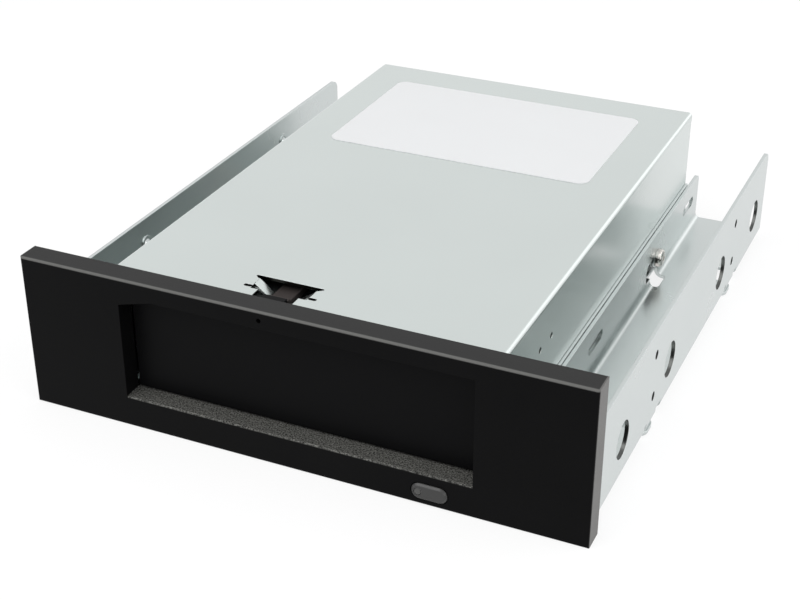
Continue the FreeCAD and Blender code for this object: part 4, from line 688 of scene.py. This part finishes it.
class DOCK_OT_screws(bpy.types.Operator):
    """Models the bracket screws and the cover screws with domed heads and cross recesses"""
    bl_idname = "dock.screws"
    bl_label = "Model the screws"

    def execute(self, context):
        hardware = context.scene.dock_hardware
        self.place("bracket_screws", 0, hardware.head_radius, hardware.head_height)
        self.place("cover_screws", 1, hardware.cover_head_radius, hardware.cover_head_height)
        return {"FINISHED"}

    def place(self, node, axis, radius, height):
        """Puts a new screw in each place of a CAD group, with its head outwards on an axis."""
        places = screw_places(node)
        if not places:
            raise RuntimeError("no screws found in " + node)
        pattern = domed_screw(radius, height, SHANK_RADIUS, SHANK_LENGTH)
        for number, (low, high) in enumerate(places):
            middle = (low + high) / 2
            outward = Vector((0, 0, 0))
            outward[axis] = 1 if middle[axis] > 0 else -1
            seat = Vector(middle)
            seat[axis] = (high if outward[axis] > 0 else low)[axis] - outward[axis] * height
            screw = copy_of(pattern)
            turn = outward.to_track_quat("Z", "Y").to_matrix().to_4x4()
            # Each recess stands at its own angle
            twist = Matrix.Rotation(math.radians(17 + 31 * number), 4, "Z")
            screw.matrix_world = Matrix.Translation(seat) @ turn @ twist
            bpy.context.view_layer.update()
            finish_piece(screw, f"{node[:-1]}_{number + 1}", "screw_steel", "chassis")
            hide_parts(node)
        bpy.data.objects.remove(pattern, do_unlink=True)


class DOCK_OT_button(bpy.types.Operator):
    """Models the light pipe with its domed end in the eject button"""
    bl_idname = "dock.button"
    bl_label = "Model the light pipe"

    def execute(self, context):
        low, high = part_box("button_lens")
        middle = (low + high) / 2
        radius = (high.x - low.x) / 2
        deselect()
        bpy.ops.mesh.primitive_cylinder_add(vertices=40, radius=radius, depth=high.y - low.y,
                                            location=middle, rotation=(math.pi / 2, 0, 0))
        lens = bpy.context.active_object
        bpy.ops.object.transform_apply(location=True, rotation=True)
        edit_mesh(lens)
        select_edges(lens, lambda a, b: max(a.y, b.y) < low.y + 0.01 * MM)
        bpy.ops.mesh.bevel(offset=context.scene.dock_hardware.lens_dome, segments=5,
                           affect="EDGES")
        bpy.ops.object.mode_set(mode="OBJECT")
        finish_piece(lens, "button_light", "lens_plastic", "button")
        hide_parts("button_lens")
        return {"FINISHED"}


class DOCK_OT_springs(bpy.types.Operator):
    """Gives the release and ejector springs their own meshes, and puts a copy of the door spring,
    its place baked into its mesh, in place of the CAD one
    """
    bl_idname = "dock.springs"
    bl_label = "Set up the springs"

    def execute(self, context):
        self.shorten("release_spring", "release_push")
        self.shorten("ejector_springs", "carriage_push")
        self.wind("door_spring", "door", "chassis")
        return {"FINISHED"}

    def shorten(self, node, name):
        """Gives a spring its own copy of its mesh."""
        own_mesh(NODES[node])

    def wind(self, node, mover, holder):
        """Puts a copy of a torsion spring where it stands, with its place baked into its mesh, and
        hides the CAD spring.
        """
        spring = copy_of(NODES[node])
        world = spring.matrix_world.copy()
        spring.parent = None
        spring.matrix_world = world
        bpy.context.view_layer.update()
        spring.name = node + "_wound"
        spring.data.name = spring.name
        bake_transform(spring)
        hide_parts(node)


class DOCK_OT_stage(bpy.types.Operator):
    """Sets the floor, the soft lights and the camera"""
    bl_idname = "dock.stage"
    bl_label = "Set the stage"

    def execute(self, context):
        stage = context.scene.dock_stage
        self.add_floor()
        self.add_sky(context, stage)
        self.add_lights(stage)
        self.add_camera(context)
        return {"FINISHED"}

    def add_floor(self):
        """Floor that lights the dock as cloth does and is seen as nearly white."""
        deselect()
        bpy.ops.mesh.primitive_plane_add(size=8.0, location=(0, 0, 0))
        floor = bpy.context.active_object
        floor.name = "floor"
        material = bpy.data.materials.new("pale floor")
        material.use_nodes = True
        tree = material.node_tree
        tree.nodes.clear()
        out = add_node(tree, "OutputMaterial")
        cloth = add_node(tree, "BsdfDiffuse", Color=(0.86, 0.86, 0.865, 1))
        glow = add_node(tree, "Emission", Color=(1, 1, 1, 1), Strength=FLOOR_WHITE)
        mix = add_node(tree, "MixShader")
        tree.links.new(product(tree, seen_rays(tree), FLOOR_SHARE), mix.inputs[0])
        tree.links.new(cloth.outputs[0], mix.inputs[1])
        tree.links.new(glow.outputs[0], mix.inputs[2])
        tree.links.new(mix.outputs[0], out.inputs["Surface"])
        floor.data.materials.append(material)

    def add_sky(self, context, stage):
        """Sky that is seen as white and gives a weaker, even light."""
        world = bpy.data.worlds.new("white room")
        context.scene.world = world
        world.use_nodes = True
        tree = world.node_tree
        tree.nodes.clear()
        out = add_node(tree, "OutputWorld")
        light = add_node(tree, "Background", Color=(1, 1, 1, 1), Strength=stage.sky)
        white = add_node(tree, "Background", Color=(1, 1, 1, 1), Strength=1.0)
        mix = add_node(tree, "MixShader")
        tree.links.new(seen_rays(tree), mix.inputs[0])
        tree.links.new(light.outputs[0], mix.inputs[1])
        tree.links.new(white.outputs[0], mix.inputs[2])
        tree.links.new(mix.outputs[0], out.inputs["Surface"])

    def add_lights(self, stage):
        for name, place, aim, size, power in (
                ("top light", (-0.35, -0.50, 0.75), (0, 0, 0.02), 1.0, stage.key),
                ("side light", (0.75, -0.05, 0.35), (0.05, 0, 0.02), 1.2, stage.side),
                ("back light", (0.55, 1.0, 0.40), (0.03, 0.03, 0.03), 0.6, stage.back)):
            lamp = bpy.data.lights.new(name, "AREA")
            lamp.energy = power
            lamp.size = size
            holder = bpy.data.objects.new(name, lamp)
            bpy.context.scene.collection.objects.link(holder)
            holder.location = place
            toward = Vector(aim) - Vector(place)
            holder.rotation_euler = toward.to_track_quat("-Z", "Y").to_euler()

    def add_camera(self, context):
        """Camera fitted to the photo's view of the known sizes."""
        azimuth, elevation = math.radians(24.511), math.radians(28.856)
        camera = bpy.data.cameras.new("photo view")
        camera.lens = 69.137
        camera.sensor_width = 36.0
        holder = bpy.data.objects.new("photo view", camera)
        context.scene.collection.objects.link(holder)
        holder.location = (0.148695, -0.348729, 0.213050)
        back = Vector((math.sin(azimuth) * math.cos(elevation),
                       -math.cos(azimuth) * math.cos(elevation), math.sin(elevation)))
        holder.rotation_euler = back.to_track_quat("Z", "Y").to_euler()
        context.scene.camera = holder
        context.scene.view_settings.view_transform = "Standard"


class DOCK_PT_panel(bpy.types.Panel):
    """Lists the dressing steps and their values"""
    bl_idname = "DOCK_PT_panel"
    bl_label = "Disk dock"
    bl_space_type = "VIEW_3D"
    bl_region_type = "UI"
    bl_category = "Disk dock"

    def draw(self, context):
        for group in (context.scene.dock_finish, context.scene.dock_hardware,
                      context.scene.dock_stage):
            box = self.layout.box()
            for label in group.bl_rna.properties.keys():
                if label not in ("rna_type", "name"):
                    box.prop(group, label)
        for step in STEPS:
            self.layout.operator(step.bl_idname)


STEPS = (DOCK_OT_sheet_metal, DOCK_OT_plastics, DOCK_OT_small_parts, DOCK_OT_screws,
         DOCK_OT_button, DOCK_OT_springs, DOCK_OT_stage)
CLASSES = (DockFinish, DockHardware, DockStage, *STEPS, DOCK_PT_panel)


def register():
    for each in CLASSES:
        bpy.utils.register_class(each)
    bpy.types.Scene.dock_finish = bpy.props.PointerProperty(type=DockFinish)
    bpy.types.Scene.dock_hardware = bpy.props.PointerProperty(type=DockHardware)
    bpy.types.Scene.dock_stage = bpy.props.PointerProperty(type=DockStage)


def unregister():
    del bpy.types.Scene.dock_stage
    del bpy.types.Scene.dock_hardware
    del bpy.types.Scene.dock_finish
    for each in reversed(CLASSES):
        bpy.utils.unregister_class(each)


def main():
    register()
    deselect()
    make_grain_group()
    make_mottle_group()
    bpy.ops.dock.sheet_metal()
    bpy.ops.dock.plastics()
    bpy.ops.dock.small_parts()
    bpy.ops.dock.screws()
    bpy.ops.dock.button()
    bpy.ops.dock.springs()
    bpy.ops.dock.stage()


if __name__ == "__main__":
    main()
